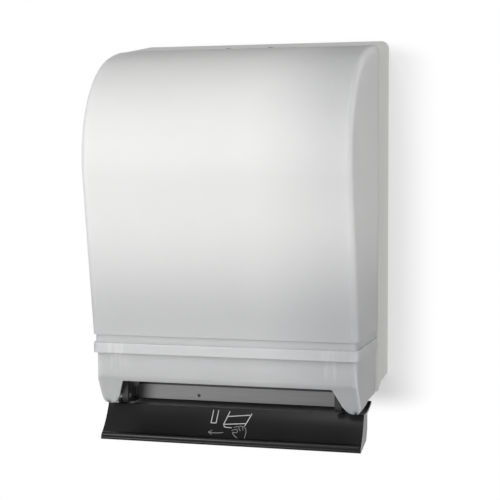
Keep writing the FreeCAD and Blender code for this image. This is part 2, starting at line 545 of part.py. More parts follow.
def make_cover():
    skin = new_body("cover_skin")
    dome(skin, "case_depth", "0", "-lip_drop", "cover_edge")
    plan_block(skin, "groove", "-lip_drop", "groove_height", "lip_depth - groove_inset",
               "groove_inset", "cover_edge - groove_inset")
    plan_block(skin, "band", "-lip_drop - groove_height", "band_height", "lip_depth", "0",
               "cover_edge")
    plan_block(skin, "skirt", "-band_drop", "seam_drop - band_drop + ear_radius * 3", "skirt_depth",
               "skirt_inset", "cover_edge - groove_inset")
    foot_rise = ("-hinge_drop + ((skirt_depth - skirt_lean - hinge_depth) * cos(tusk_angle)"
                 " - ear_radius) / sin(tusk_angle)")
    tip_run = "ear_radius * (cos(tail_angle) - sin(tusk_angle)) / cos(tusk_angle - tail_angle)"
    tip_fall = "ear_radius * (cos(tusk_angle) + sin(tail_angle)) / cos(tusk_angle - tail_angle)"
    tail_rise = ("-hinge_drop + ((hinge_depth - tail_depth) * sin(tail_angle) - ear_radius)"
                 " / cos(tail_angle)")
    foot_line = side([
        ("skirt_depth", "-band_drop"), ("skirt_depth - skirt_lean", foot_rise, "round", "ear_radius"),
        (f"hinge_depth + {tip_run}", f"-hinge_drop - {tip_fall}", "round", "ear_radius"),
        ("tail_depth", tail_rise), ("case_depth", "-seam_drop"),
        ("case_depth", "-seam_drop * 2"), ("nose_depth", "-seam_drop * 2"), ("nose_depth", "-band_drop")])
    pocket(skin, "foot_cut", sketch_on(skin, "YZ", "foot_line", [foot_line]))

    hollow = new_body("cover_hollow")
    back = "case_depth - cover_wall"
    dome(hollow, back, "cover_wall", "-lip_drop + cover_wall / 2", "cover_wall", "Chamfer")
    plan_block(hollow, "groove_room", "-lip_drop + cover_wall / 2", "groove_height + band_height",
               "lip_depth - groove_inset - cover_wall", "groove_inset + cover_wall",
               "cover_edge - groove_inset - cover_wall / 2", back)
    plan_block(hollow, "skirt_room", "-lip_drop - groove_height - band_height + cover_wall / 2",
               "seam_drop", "skirt_depth - cover_wall - skirt_lean / 2", "skirt_inset + cover_wall",
               "cover_edge - groove_inset - cover_wall / 2", back)
    wall_run = "cover_wall / cos(tusk_angle)"
    tusk_room = side([
        ("skirt_depth - skirt_lean - cover_wall", foot_rise),
        ("hinge_depth + ear_radius / cos(tusk_angle) - " + wall_run, "-hinge_drop"),
        ("hinge_depth - ear_radius", "-seam_drop * 2"), ("nose_depth", "-seam_drop * 2"),
        ("nose_depth", foot_rise)])
    pocket(hollow, "tusk_wall", sketch_on(hollow, "YZ", "tusk_room", [tusk_room]))

    shell = doc.addObject("Part::Cut", "cover_shell")
    shell.Base, shell.Tool = skin, hollow

    fittings = new_body("cover_fittings")
    ear_top = "-hinge_drop + ear_radius * 2"
    ear_front = ("hinge_depth + ear_radius * cos(tusk_angle) - cover_wall / 2"
                 " + ear_radius * (2 + sin(tusk_angle)) * tan(tusk_angle)")
    ear = side([
        ("hinge_depth - ear_radius", ear_top),
        ("hinge_depth - ear_radius", "-hinge_drop", "left", "ear_radius"),
        ("hinge_depth + ear_radius * cos(tusk_angle)", "-hinge_drop - ear_radius * sin(tusk_angle)"),
        (ear_front, ear_top)])
    for name, hand in HANDS:
        sketch = sketch_on(fittings, "YZ", name + "_ear_outline", [ear],
                           offset=f"{hand} * ear_inner")
        pad(fittings, name + "_ear", sketch, "ear_outer - ear_inner", back=hand == "-1")
    rib_top, rib_front = "-lip_drop - groove_height", "skirt_depth - cover_wall / 2"
    middle_rib = "(frame_inner - cover_rib_lead)"
    for name, spot in (("inner", f"({middle_rib} - cover_rib_gap)"), ("middle", middle_rib),
                       ("outer", "frame_outer")):
        ribs = sketch_on(fittings, "XY", name + "_ribs", offset=rib_top, outlines=[box_points(
            f"{hand} * {spot} - cover_rib_width / 2", f"-({rib_front})",
            f"{hand} * {spot} + cover_rib_width / 2",
            "-(skirt_depth - cover_wall - cover_rib_width * 3)") for _, hand in HANDS])
        pad(fittings, name + "_rib_pair", ribs, "cover_rib_height", back=True)
    catch = sketch_on(fittings, "YZ", "catch_outline", [side(box_points(
        "latch_pivot_depth + latch_length - latch_wall * 3", "latch_pivot_rise + latch_wall / 2 + seat_gap",
        "latch_pivot_depth + latch_length - latch_wall * 2",
        "seam_rise - tan(top_angle) * (latch_pivot_depth + latch_length - case_depth) - cover_wall / 2"))])
    pad(fittings, "catch", catch, "key_slot_offset", both=True)

    body = doc.addObject("Part::MultiFuse", "cover_fused")
    body.Shapes = [shell, fittings]

    cuts = new_body("cover_cuts")
    exit_outline = [
        ("exit_half_width", "-skirt_drop", "round", "cover_wall"),
        ("exit_half_width + tan(exit_flare) * (hinge_drop + ear_radius * 2 - skirt_drop)",
         "-hinge_drop - ear_radius * 2")]
    opening = sketch_on(cuts, "XZ", "exit_outline", offset="hinge_depth - ear_radius * 2", outlines=[
        exit_outline + mirrored(exit_outline)[::-1]])
    pad(cuts, "paper_exit", opening, "nose_depth - hinge_depth")
    bore = sketch_on(cuts, "YZ", "hinge_bore", circles=[
        ("-hinge_depth", "-hinge_drop", "hinge_pin_radius + running_fit")])
    pad(cuts, "hinge_bores", bore, "ear_outer * 2 + cover_wall", both=True)

    cover = doc.addObject("Part::Cut", "cover")
    cover.Base, cover.Tool = body, cuts
    return cover


# ---------------------------------------------------------------- mechanism frames

def make_frame(name, hand):
    body = new_body(f"{name}_frame")
    outer = f"{hand} * frame_outer"
    inward = hand == "1"
    front_foot = "-hinge_drop - hinge_boss"
    outline = side([
        ("frame_back", "frame_rise", "round", "hinge_boss"),
        ("frame_front - frame_nose_round", "frame_rise", "round", "frame_nose_round"),
        ("frame_front", "-pivot_drop"), ("frame_front", front_foot, "round", "hinge_boss * 0.99"),
        ("hinge_depth - 1", front_foot, "right", "frame_sweep"),
        ("frame_back", "-pivot_drop - sqrt(frame_sweep ^ 2 - (pivot_depth - frame_back) ^ 2)")])
    plate = pad(body, "plate", sketch_on(body, "YZ", "outline", [outline], offset=outer),
                "frame_thickness", back=inward)
    inner = size("frame_inner")
    shell_inward(body, "rim", plate, "frame_skin", lambda f: (
        abs(abs(f.CenterOfMass.x) - inner) < 0.01))
    seats = [("feed_depth", "feed_rise", "bush_radius + bush_wall"),
             ("pivot_depth", "-pivot_drop", "pivot_radius * 2"),
             ("hinge_depth", "-hinge_drop", "hinge_boss")]
    bosses = sketch_on(body, "YZ", "bosses", offset=outer, circles=[
        (f"-({depth})", rise, radius) for depth, rise, radius in seats])
    pad(body, "seat_bosses", bosses, "frame_thickness", back=inward)
    if not inward:
        spool = sketch_on(body, "YZ", "spool", offset=outer, circles=[
            ("-pivot_depth", "-pivot_drop", "spring_coil - spring_wire - seat_gap * 2")])
        pad(body, "spring_spool", spool, "arm_inner - frame_outer - seat_gap", back=True)
    feet = sketch_on(body, "XZ", "feet", offset="frame_back", outlines=[box_points(
        f"{hand} * (frame_inner - foot_width)", f"-{level}_foot_drop - foot_height / 2",
        f"{hand} * (frame_outer)", f"-{level}_foot_drop + foot_height / 2")
        for level in ("upper", "lower")])
    pad(body, "wall_feet", feet, "frame_skin")

    bores = [("feed_depth", "feed_rise", "bush_radius"),
             ("pinch_depth", "pinch_rise", "pinch_shaft_radius + running_fit"),
             ("pivot_depth", "-pivot_drop", "pivot_radius"),
             ("hinge_depth", "-hinge_drop", "hinge_pin_radius"),
             ("transfer_depth", "transfer_rise", "transfer_radius + running_fit")]
    holes = sketch_on(body, "YZ", "bores", offset=f"{hand} * (frame_outer + 1)", circles=[
        (f"-({depth})", rise, radius) for depth, rise, radius in bores])
    pocket(body, "seat_bores", holes, "frame_thickness + 2", back=not inward)
    if inward:
        taps = sketch_on(body, "YZ", "cover_screw_holes", offset="frame_outer + 1", circles=[
            (f"-({depth})", rise, "small_screw_radius + screw_fit") for depth, rise in DRIVE_POSTS])
        pocket(body, "cover_screw_taps", taps, "frame_skin * 0.6 + 1")
    else:
        pin_hole = sketch_on(body, "YZ", "pin_hole", offset="-arm_inner", circles=[
            ("-pivot_depth", "-pivot_drop", "pivot_radius")])
        pocket(body, "spool_bore", pin_hole, "arm_inner - frame_inner + 1", back=True)
    screws = sketch_on(body, "XZ", "screw_holes", offset="frame_back + frame_skin + 1", circles=[
        (f"{hand} * foot_screw_offset", f"-{level}_foot_drop", "screw_radius + screw_fit")
        for level in ("upper", "lower")])
    pocket(body, "foot_holes", screws, "frame_skin + 2")
    nose = sketch_on(body, "XZ", "nose_screw", offset="frame_front + 1", circles=[
        (f"{hand} * (frame_inner + frame_thickness / 2)", "tear_screw_rise",
         "small_screw_radius + screw_fit")])
    pocket(body, "tear_bar_tap", nose, "frame_skin * 0.8 + 1")
    notch = sketch_on(body, "YZ", "notch", offset=f"{hand} * (frame_outer + 1)", outlines=[
        side(box_points("plate_front - plate_thickness", "-pivot_drop - lever_sweep",
                        "plate_front", "plate_rise + seat_gap"))])
    pocket(body, "exit_plate_notch", notch, "frame_thickness + 2", back=not inward)
    return body


def make_rear_guide():
    """The one-piece channel that carries a stub roll and closes in the rollers from behind."""
    body = new_body("rear_guide")
    reach = "(feed_radius + guide_gap)"
    outer_reach = "(feed_radius + guide_gap + guide_wall)"
    lower_front = "plate_front - plate_thickness"
    outline = side([
        ("guide_back", "guide_rise"), ("guide_back + guide_wall", "guide_rise"),
        ("guide_back + guide_wall", "-pivot_drop - pivot_radius * 4", "round", "guide_gap * 3"),
        (f"feed_depth - {reach}", "feed_rise + feed_radius", "round", "guide_gap"),
        (f"feed_depth - {reach}", "feed_rise", "left", reach),
        ("feed_depth", f"feed_rise - {reach}"),
        (f"{lower_front} - guide_wall", f"feed_rise - {reach}", "round", "guide_wall"),
        (lower_front, "plate_rise"),
        (lower_front, "plate_foot"), (f"{lower_front} - guide_wall", "plate_foot"),
        (f"{lower_front} - guide_wall", "plate_rise"),
        (f"{lower_front} - guide_wall * 2", f"feed_rise - {outer_reach}"),
        ("feed_depth", f"feed_rise - {outer_reach}", "right", outer_reach),
        (f"feed_depth - {outer_reach}", "feed_rise"),
        (f"feed_depth - {outer_reach}", "feed_rise + feed_radius"),
        ("guide_back", "-pivot_drop - pivot_radius * 4 - guide_wall / 2", "round", "guide_gap * 3")])
    pad(body, "channel", sketch_on(body, "YZ", "outline", [outline]), "frame_inner * 2", both=True)
    access = sketch_on(body, "XZ", "driver_holes", offset="guide_back - guide_wall", circles=[
        (f"{hand} * wall_screw_half_span", "-wall_screw_rise", "wall_screw_radius * 2.6")
        for _, hand in HANDS])
    pocket(body, "driver_access", access, "feed_depth - guide_back", back=True)
    return body


def make_exit_plate():
    """The steel lip the paper leaves over; its ends step out through the frames' notches."""
    body = new_body("exit_plate")
    half = [("plate_shoulder", "plate_rise", "round", "plate_corner"),
            ("plate_shoulder", "plate_foot + plate_thickness * 2", "round", "plate_thickness"),
            ("plate_half_width", "plate_foot + plate_thickness"), ("plate_half_width", "plate_foot")]
    outline = sketch_on(body, "XZ", "outline", [half + mirrored(half)[::-1]],
                        [("-plate_hole_offset", "(plate_rise + plate_foot * 2) / 3",
                          "plate_hole_radius")], offset="plate_front - plate_thickness")
    pad(body, "sheet", outline, "plate_thickness")
    return body


def make_tear_bar():
    """A steel strip across the frames' noses with a saw-toothed lower edge."""
    body = new_body("tear_bar")
    flange = sketch_on(body, "XZ", "flange", offset="frame_front", outlines=[box_points(
        "-tear_half_width", "-skirt_drop + tooth_depth", "tear_half_width",
        "-skirt_drop + tear_height")])
    pad(body, "strip", flange, "tear_thickness")
    start = "-tear_half_width"
    tooth = sketch_on(body, "XZ", "tooth", offset="frame_front", outlines=[[
        (start, "-skirt_drop + tooth_depth"), (f"{start} + tooth_pitch / 2", "-skirt_drop"),
        (f"{start} + tooth_pitch", "-skirt_drop + tooth_depth"),
        (f"{start} + tooth_pitch", "-skirt_drop + tooth_depth * 1.5"),
        (start, "-skirt_drop + tooth_depth * 1.5")]])
    first = pad(body, "first_tooth", tooth, "tear_thickness")
    array(body, "teeth", first, "X", "tooth_pitch", "floor(tear_half_width * 2 / tooth_pitch)")
    screws = sketch_on(body, "XZ", "screw_holes", offset="frame_front - 1", circles=[
        (f"{hand} * (frame_inner + frame_thickness / 2)", "tear_screw_rise",
         "small_screw_radius + screw_fit") for _, hand in HANDS])
    pocket(body, "screw_holes_cut", screws, "tear_thickness + 2", back=True)
    return body


# ---------------------------------------------------------------- lever

def at_radius(radius, angle):
    """(depth, rise) from the pivot, the angle measured forward from straight down."""
    return f"({radius}) * sin({angle})", f"-({radius}) * cos({angle})"


SECTOR_SCREWS = [at_radius(radius, "-arm_front_angle / 2")
                 for radius in ("hub_radius * 2.4", "hub_radius * 4")]


def make_lever():
    """Push bar, its curved closing plate and two arms, moulded in one; origin on the pivot."""
    body = new_body("lever", depth="pivot_depth", rise="-pivot_drop")
    under = "(lever_sweep + lever_wall)"
    bar = side([
        at_radius("lever_sweep", "-plate_back_angle") + ("left", "lever_sweep"),
        at_radius("lever_sweep", "plate_front_angle") + ("right", "bar_hollow_radius"),
        ("bar_nose_depth", "-bar_nose_drop"),
        ("bar_nose_depth + lever_wall / 2", "-bar_foot_drop", "round", "lever_wall * 0.8"),
        ("bar_tail_depth", "-bar_tail_drop", "round", "lever_wall"),
        ("bar_back_depth", "-bar_back_drop"),
        ("bar_back_depth", f"-sqrt({under} ^ 2 - bar_back_depth ^ 2)", "right", under),
        at_radius(under, "-plate_back_angle")])
    pad(body, "bar", sketch_on(body, "YZ", "bar_outline", [bar]), "lever_half_width * 2", both=True)
    rear = "(bar_back_depth - lever_wall)"
    room = side([
        (rear, f"-sqrt({under} ^ 2 - {rear} ^ 2)", "left", under),
        at_radius(under, "plate_front_angle * 0.84") + ("right", "bar_hollow_radius + lever_wall"),
        ("bar_nose_depth - lever_wall * 1.6", "-bar_foot_drop + lever_wall * 1.4"),
        ("bar_tail_depth + lever_wall * 0.6", "-bar_tail_drop + lever_wall * 1.1"),
        ("bar_back_depth + lever_wall * 1.15", "-bar_back_drop"), (rear, "-bar_back_drop")])
    pocket(body, "bar_room", sketch_on(body, "YZ", "room_outline", [room]),
           "(lever_half_width - lever_wall) * 2", both=True)
    rib = sketch_on(body, "YZ", "rib_outline", outlines=[side([
        ("bar_back_depth + lever_wall / 2", f"-sqrt({under} ^ 2 - bar_back_depth ^ 2) + lever_wall / 2"),
        at_radius("lever_sweep + lever_wall / 2", "plate_front_angle * 0.84"),
        ("bar_nose_depth - lever_wall / 2", "-bar_nose_drop - lever_wall / 2"),
        ("bar_tail_depth + lever_wall / 4", "-bar_tail_drop + lever_wall / 2"),
        ("bar_back_depth + lever_wall / 2", "-bar_back_drop")])],
        offset="-bar_rib_spacing * (bar_rib_count - 1) / 2 - lever_wall / 2")
    first = pad(body, "bar_rib", rib, "lever_wall")
    array(body, "bar_ribs", first, "X", "bar_rib_spacing", "bar_rib_count")
    arm = side([
        ("-arm_half_width", "0"), at_radius("lever_sweep + lever_wall / 2", "-arm_rear_angle"),
        at_radius("lever_sweep + lever_wall / 2", "arm_front_angle"), ("arm_half_width", "0")])
    for name, hand in HANDS:
        inner, away = f"{hand} * arm_inner", hand == "-1"
        pad(body, name + "_arm", sketch_on(body, "YZ", name + "_arm_outline", [arm], offset=inner),
            "arm_thickness", back=away)
        pad(body, name + "_hub", sketch_on(body, "YZ", name + "_hub_outline", offset=inner,
                                           circles=[("0", "0", "hub_radius")]),
            "arm_thickness", back=away)
    bore = sketch_on(body, "YZ", "bore", circles=[("0", "0", "pivot_radius + running_fit")])
    pocket(body, "pivot_bores", bore, "(arm_inner + arm_thickness + 1) * 2", both=True)
    screws = sketch_on(body, "YZ", "screw_holes", offset="arm_inner - 1", circles=[
        (f"-({depth})", rise, "small_screw_radius + screw_fit") for depth, rise in SECTOR_SCREWS])
    pocket(body, "sector_screw_holes", screws, "arm_thickness + 2", back=True)
    return body


# ---------------------------------------------------------------- gear pair

def gear_profile(teeth):
    """Root, base, pitch and tip radii, and the half angle of a tooth at any radius."""
    module, press = size("gear_module"), math.radians(size("pressure_angle"))
    pitch = module * teeth / 2
    base, tip = pitch * math.cos(press), pitch + size("addendum") * module
    root = pitch - size("dedendum") * module
    thick = math.pi * module / 2 - size("backlash") / 2

    def half_angle(radius):
        turn = math.acos(min(base / max(radius, base), 1))
        return thick / (2 * pitch) + (math.tan(press) - press) - (math.tan(turn) - turn)
    return root, base, tip, half_angle


def tooth_points(teeth, centre, steps=4):
    """One tooth's outline about an angle, from its root up one flank and down the other."""
    root, base, tip, half_angle = gear_profile(teeth)
    start = max(root, base)
    radii = [root] + [start + (tip - start) * i / (steps - 1) for i in range(steps)]
    if start == root:
        radii = radii[1:]
    up = [(r, centre - half_angle(r)) for r in radii]
    down = [(r, centre + half_angle(r)) for r in reversed(radii)]
    return [Vector(0, r * math.cos(a), r * math.sin(a)) for r, a in up + down]


def toothed_disc(points, start, width):
    face = Part.Face(Part.makePolygon(points + points[:1]))
    face.translate(Vector(start, 0, 0))
    return face.extrude(Vector(width, 0, 0))


def x_cylinder(radius, start, length, depth=0.0, rise=0.0):
    return Part.makeCylinder(radius, length, Vector(start, -depth, rise), Vector(1, 0, 0))


def shaped(name, shape, depth, rise, x="0"):
    thing = doc.addObject("Part::Feature", name)
    thing.Label = name
    thing.Shape = shape
    thing.Placement.Base = Vector(size(x), -size(depth), size(rise))
    return thing


def centre_line_angle():
    """The angle of the line from the lever's pivot to the feed shaft, in the YZ plane."""
    across = size("pivot_depth") - size("feed_depth")
    down = size("feed_rise") + size("pivot_drop")
    return math.atan2(down, across)


def make_pinion():
    teeth = int(size("pinion_teeth"))
    toward_pivot = centre_line_angle() + math.pi
    points = []
    for number in range(teeth):
        points += tooth_points(teeth, toward_pivot + (number + 0.5) * 2 * math.pi / teeth)
    shape = toothed_disc(points, size("gear_inner"), size("gear_width"))
    shape = shape.cut(x_cylinder(size("feed_shaft_radius"), size("gear_inner") - 1,
                                 size("gear_width") + 2))
    return shaped("pinion", shape, "feed_depth", "feed_rise")


def make_sector_gear():
    """A toothed sector on the right arm: a hub, a web with two windows, and a rim of teeth."""
    teeth, line = int(size("sector_teeth")), centre_line_angle()
    step, down = 2 * math.pi / teeth, -math.pi / 2
    first = math.ceil((down - math.radians(size("sector_front_angle")) - line) / step)
    last = math.floor((down + math.radians(size("sector_rear_angle")) - line) / step)
    points = [Vector(0, 0, 0)]
    for number in range(first, last + 1):
        points += tooth_points(teeth, line + number * step)
    inner, width, hub = size("gear_inner"), size("gear_width"), size("hub_radius")
    reach = size("arm_inner") - inner
    shape = toothed_disc(points, inner, width).fuse(x_cylinder(hub, inner, reach))
    root = gear_profile(teeth)[0]
    for angle in (line + (first + 1.2) * step, line + (last - 1.2) * step):
        rim, neck = root - hub * 0.5, hub * 1.5
        middle = (rim + neck) / 2
        shape = shape.cut(x_cylinder(hub * 0.32, inner - 1, width + 2,
                                     -middle * math.cos(angle), middle * math.sin(angle)))
    hole = size("small_screw_radius") + size("screw_fit")
    for formulas in SECTOR_SCREWS:
        depth, rise = (size(formula) for formula in formulas)
        shape = shape.fuse(x_cylinder(hole * 2, inner, reach, depth, rise))
        shape = shape.cut(x_cylinder(hole, inner - 1, reach + 2, depth, rise))
    shape = shape.cut(x_cylinder(size("pivot_radius") + size("running_fit"), inner - 1, reach + 2))
    return shaped("sector_gear", shape.removeSplitter(), "pivot_depth", "-pivot_drop")


# ---------------------------------------------------------------- rollers

def make_feed_parts():
    at = {"depth": "feed_depth", "rise": "feed_rise"}
    shaft_end = "arm_inner - shaft_end_gap"
    shaft = new_body("feed_shaft", **at)
    spin(shaft, "rod", tube_points(f"-({shaft_end})", shaft_end, "0", "feed_shaft_radius"))

    drum = new_body("feed_drum", **at)
    spin(drum, "tube", tube_points("-feed_half_length", "feed_half_length", "feed_shaft_radius",
                                   "feed_radius - sleeve_wall"))
    well = spin(drum, "end_wells", tube_points(
        "sleeve_length / 2 + sleeve_spacing + sleeve_wall", "feed_half_length + 1",
        "feed_shaft_radius + sleeve_wall * 3", "feed_radius - sleeve_wall * 4"), kind="Groove")
    both = drum.newObject("PartDesign::Mirrored", "feed_drum_both_ends")
    both.Originals = [well]
    both.MirrorPlane = (origin_feature(drum, "YZ_Plane"), [""])
    drum.Tip = both

    rings("grip_sleeves", "feed_radius - sleeve_wall", "feed_radius", at)

    hand_wheel = new_body("feed_knob", **at)
    spin(hand_wheel, "disc", tube_points("-gear_inner - gear_width", "-gear_inner",
                                         "feed_shaft_radius", "knob_radius"))
    dent = sketch_on(hand_wheel, "YZ", "dent", offset="-gear_inner + 1",
                     circles=[("knob_radius * 1.08", "0", "knob_radius * 0.2")])
    first = pocket(hand_wheel, "grip", dent, "gear_width + 2")
    grips = hand_wheel.newObject("PartDesign::PolarPattern", "feed_knob_grips")
    grips.Originals = [first]
    grips.Axis = (origin_feature(hand_wheel, "X_Axis"), [""])
    grips.Angle = 360
    bind(grips, "Occurrences", "knob_grips")
    hand_wheel.Tip = grips

    bushes = []
    for name, hand in HANDS:
        bush = new_body(f"{name}_feed_bush", **at)
        spin(bush, "sleeve", [(f"{hand} * {x}", radius) for x, radius in tube_points(
            "frame_inner", "frame_outer", "(feed_shaft_radius + running_fit)", "bush_radius")])
        bushes.append(bush)
    return [shaft, drum, hand_wheel, make_pinion()] + bushes


def rings(name, inner, outer, at):
    """Rubber rings evenly spaced along a roller, as one group."""
    made = []
    for number in range(int(size("sleeve_count"))):
        middle = f"sleeve_spacing * ({number} - (sleeve_count - 1) / 2)"
        ring = new_body(f"{name}_{number + 1}", **at)
        spin(ring, "ring", tube_points(f"{middle} - sleeve_length / 2",
                                       f"{middle} + sleeve_length / 2", inner, outer))
        made.append(ring)
    group = doc.addObject("Part::Compound", name)
    group.Links = made
    return group


def make_pinch_parts():
    at = {"depth": "pinch_depth", "rise": "pinch_rise"}
    shaft = new_body("pinch_shaft", **at)
    spin(shaft, "rod", tube_points("-frame_outer", "frame_outer", "0", "pinch_shaft_radius"))
    return [shaft, rings("pinch_rollers", "pinch_shaft_radius", "pinch_radius", at)]


# ---------------------------------------------------------------- pins, cap, spring and stops

def make_pins():
    """The pressed pins of the lever and the cover, the left pin's clip, and the right pin's cap."""
    made = []
    cap_seat = "drive_cover_inner + drive_cover_wall"
    clip_seat = "arm_inner + arm_thickness + seat_gap"
    pin_ends = {"left": f"{clip_seat} + clip_width * 2", "right": f"{cap_seat} + cap_height / 2"}
    for name, hand in HANDS:
        for role, depth, rise, end, radius in (
                ("pivot", "pivot_depth", "-pivot_drop", pin_ends[name], "pivot_radius"),
                ("hinge", "hinge_depth", "-hinge_drop", "ear_outer + seat_gap", "hinge_pin_radius")):
            pin = new_body(f"{name}_{role}_pin", depth=depth, rise=rise)
            spin(pin, "turned", [(f"{hand} * ({x})", r) for x, r in tube_points(
                "frame_inner", end, "0", radius)])
            made.append(pin)
    clip = new_body("pivot_clip", depth="pivot_depth", rise="-pivot_drop")
    ring = sketch_on(clip, "YZ", "ring", offset=f"-({clip_seat})", circles=[
        ("0", "0", "pivot_radius"), ("0", "0", "pivot_radius + clip_reach")])
    pad(clip, "ring_pad", ring, "clip_width", back=True)
    gap = sketch_on(clip, "YZ", "gap", offset=f"1 - ({clip_seat})", outlines=[box_points(
        "-clip_gap / 2", "0", "clip_gap / 2", "(pivot_radius + clip_reach) * 2")])
    pocket(clip, "gap_cut", gap, "clip_width + 2")
    cap = new_body("pivot_cap", depth="pivot_depth", rise="-pivot_drop")
    spin(cap, "turned", [
        (f"{cap_seat} + cap_height / 2", "0"), (f"{cap_seat} + cap_height", "0"),
        (f"{cap_seat} + cap_height", "cap_radius - cap_height / 2"),
        (f"{cap_seat} + cap_height / 2", "cap_radius"), (cap_seat, "cap_radius"),
        (cap_seat, "pivot_radius"), (f"{cap_seat} + cap_height / 2", "pivot_radius")])
    return made + [clip, cap]


def coil(wire, radius, pitch, turns, legs=0.0, runs=10, sides=5):
    """A wire wound about Z from the origin in short straight runs, with an optional straight
    leg on each end."""
    def section(middle, angle):
        out, up = Vector(math.cos(angle), math.sin(angle), 0), Vector(0, 0, 1)
        points = []
        for side_number in range(sides):
            turn = 2 * math.pi * side_number / sides
            points.append(middle + (out * math.cos(turn) + up * math.sin(turn)) * wire)
        return Part.makePolygon(points + points[:1])

    spots = []
    for number in range(int(runs * turns) + 1):
        angle = 2 * math.pi * number / runs
        spots.append((Vector(radius * math.cos(angle), radius * math.sin(angle),
                             pitch * number / runs), angle))
    if legs:
        for place, way in ((0, -1), (len(spots) + 1, 1)):
            middle, angle = spots[0 if place == 0 else -1]
            along = Vector(-math.sin(angle), math.cos(angle), 0)
            spots.insert(place, (middle + along * legs * way, angle))
    return Part.makeLoft([section(*spot) for spot in spots], True, True)


def make_return_spring():
    """A torsion spring wound round the left frame's spool, between the frame and the arm."""
    wire, turns = size("spring_wire"), size("spring_turns")
    room = size("arm_inner") - size("frame_outer") - 2 * wire - 2 * size("seat_gap")
    shape = coil(wire, size("spring_coil"), room / turns, turns, size("spring_coil") * 1.6)
    shape.rotate(Vector(0, 0, 0), Vector(0, 1, 0), -90)
    return shaped("return_spring", shape, "pivot_depth", "-pivot_drop",
                  x="-(frame_outer + seat_gap + spring_wire)")


def make_bumpers():
    made = []
    for name, hand in HANDS:
        stop = new_body(f"bumper_{name}", depth="pivot_depth + bumper_depth",
                        rise="-pivot_drop - bumper_reach")
        circle = sketch_on(stop, "YZ", "round", offset=f"{hand} * frame_outer",
                           circles=[("0", "0", "bumper_radius")])
        pad(stop, "peg", circle, "arm_inner + arm_thickness - frame_outer", back=hand == "-1")
        made.append(stop)
    group = doc.addObject("Part::Compound", "lever_bumpers")
    group.Links = made
    return [group]


# ---------------------------------------------------------------- drive cover

DRIVE_POSTS = [("frame_back + boss_radius * 2", "frame_rise - boss_radius * 2"),
               ("pivot_depth - boss_radius", "frame_rise - boss_radius * 1.6"),
               ("frame_front - boss_radius", "-lip_drop + boss_radius * 2")]


def make_drive_cover():
    body = new_body("drive_cover")
    heel = "pivot_depth - sqrt(frame_sweep ^ 2 - (drive_cover_drop - pivot_drop) ^ 2)"
    outline = side([
        ("frame_back", "drive_cover_rise", "round", "cap_radius"),
        ("drive_cover_front", "drive_cover_rise", "round", "cap_radius"),
        ("drive_cover_front", "-drive_cover_drop", "round", "boss_radius"),
        (heel, "-drive_cover_drop", "right", "frame_sweep"),
        ("frame_back", "-pivot_drop - sqrt(frame_sweep ^ 2 - (pivot_depth - frame_back) ^ 2)")])
    pad(body, "sheet", sketch_on(body, "YZ", "outline", [outline], offset="drive_cover_inner"),
        "drive_cover_wall")
    posts = sketch_on(body, "YZ", "posts", offset="drive_cover_inner + drive_cover_wall / 2",
                      circles=[(f"-({d})", r, "post_radius") for d, r in DRIVE_POSTS])
    pad(body, "spacer_posts", posts, "drive_cover_inner + drive_cover_wall / 2 - frame_outer",
        back=True)
    holes = sketch_on(body, "YZ", "holes", offset="frame_outer - 1", circles=[
        (f"-({d})", r, "small_screw_radius + screw_fit") for d, r in DRIVE_POSTS]
        + [("-pivot_depth", "-pivot_drop", "pivot_radius")])
    pocket(body, "pin_and_screw_holes", holes, "drive_cover_inner + drive_cover_wall", back=True)
    return [body]


# ---------------------------------------------------------------- roll holders

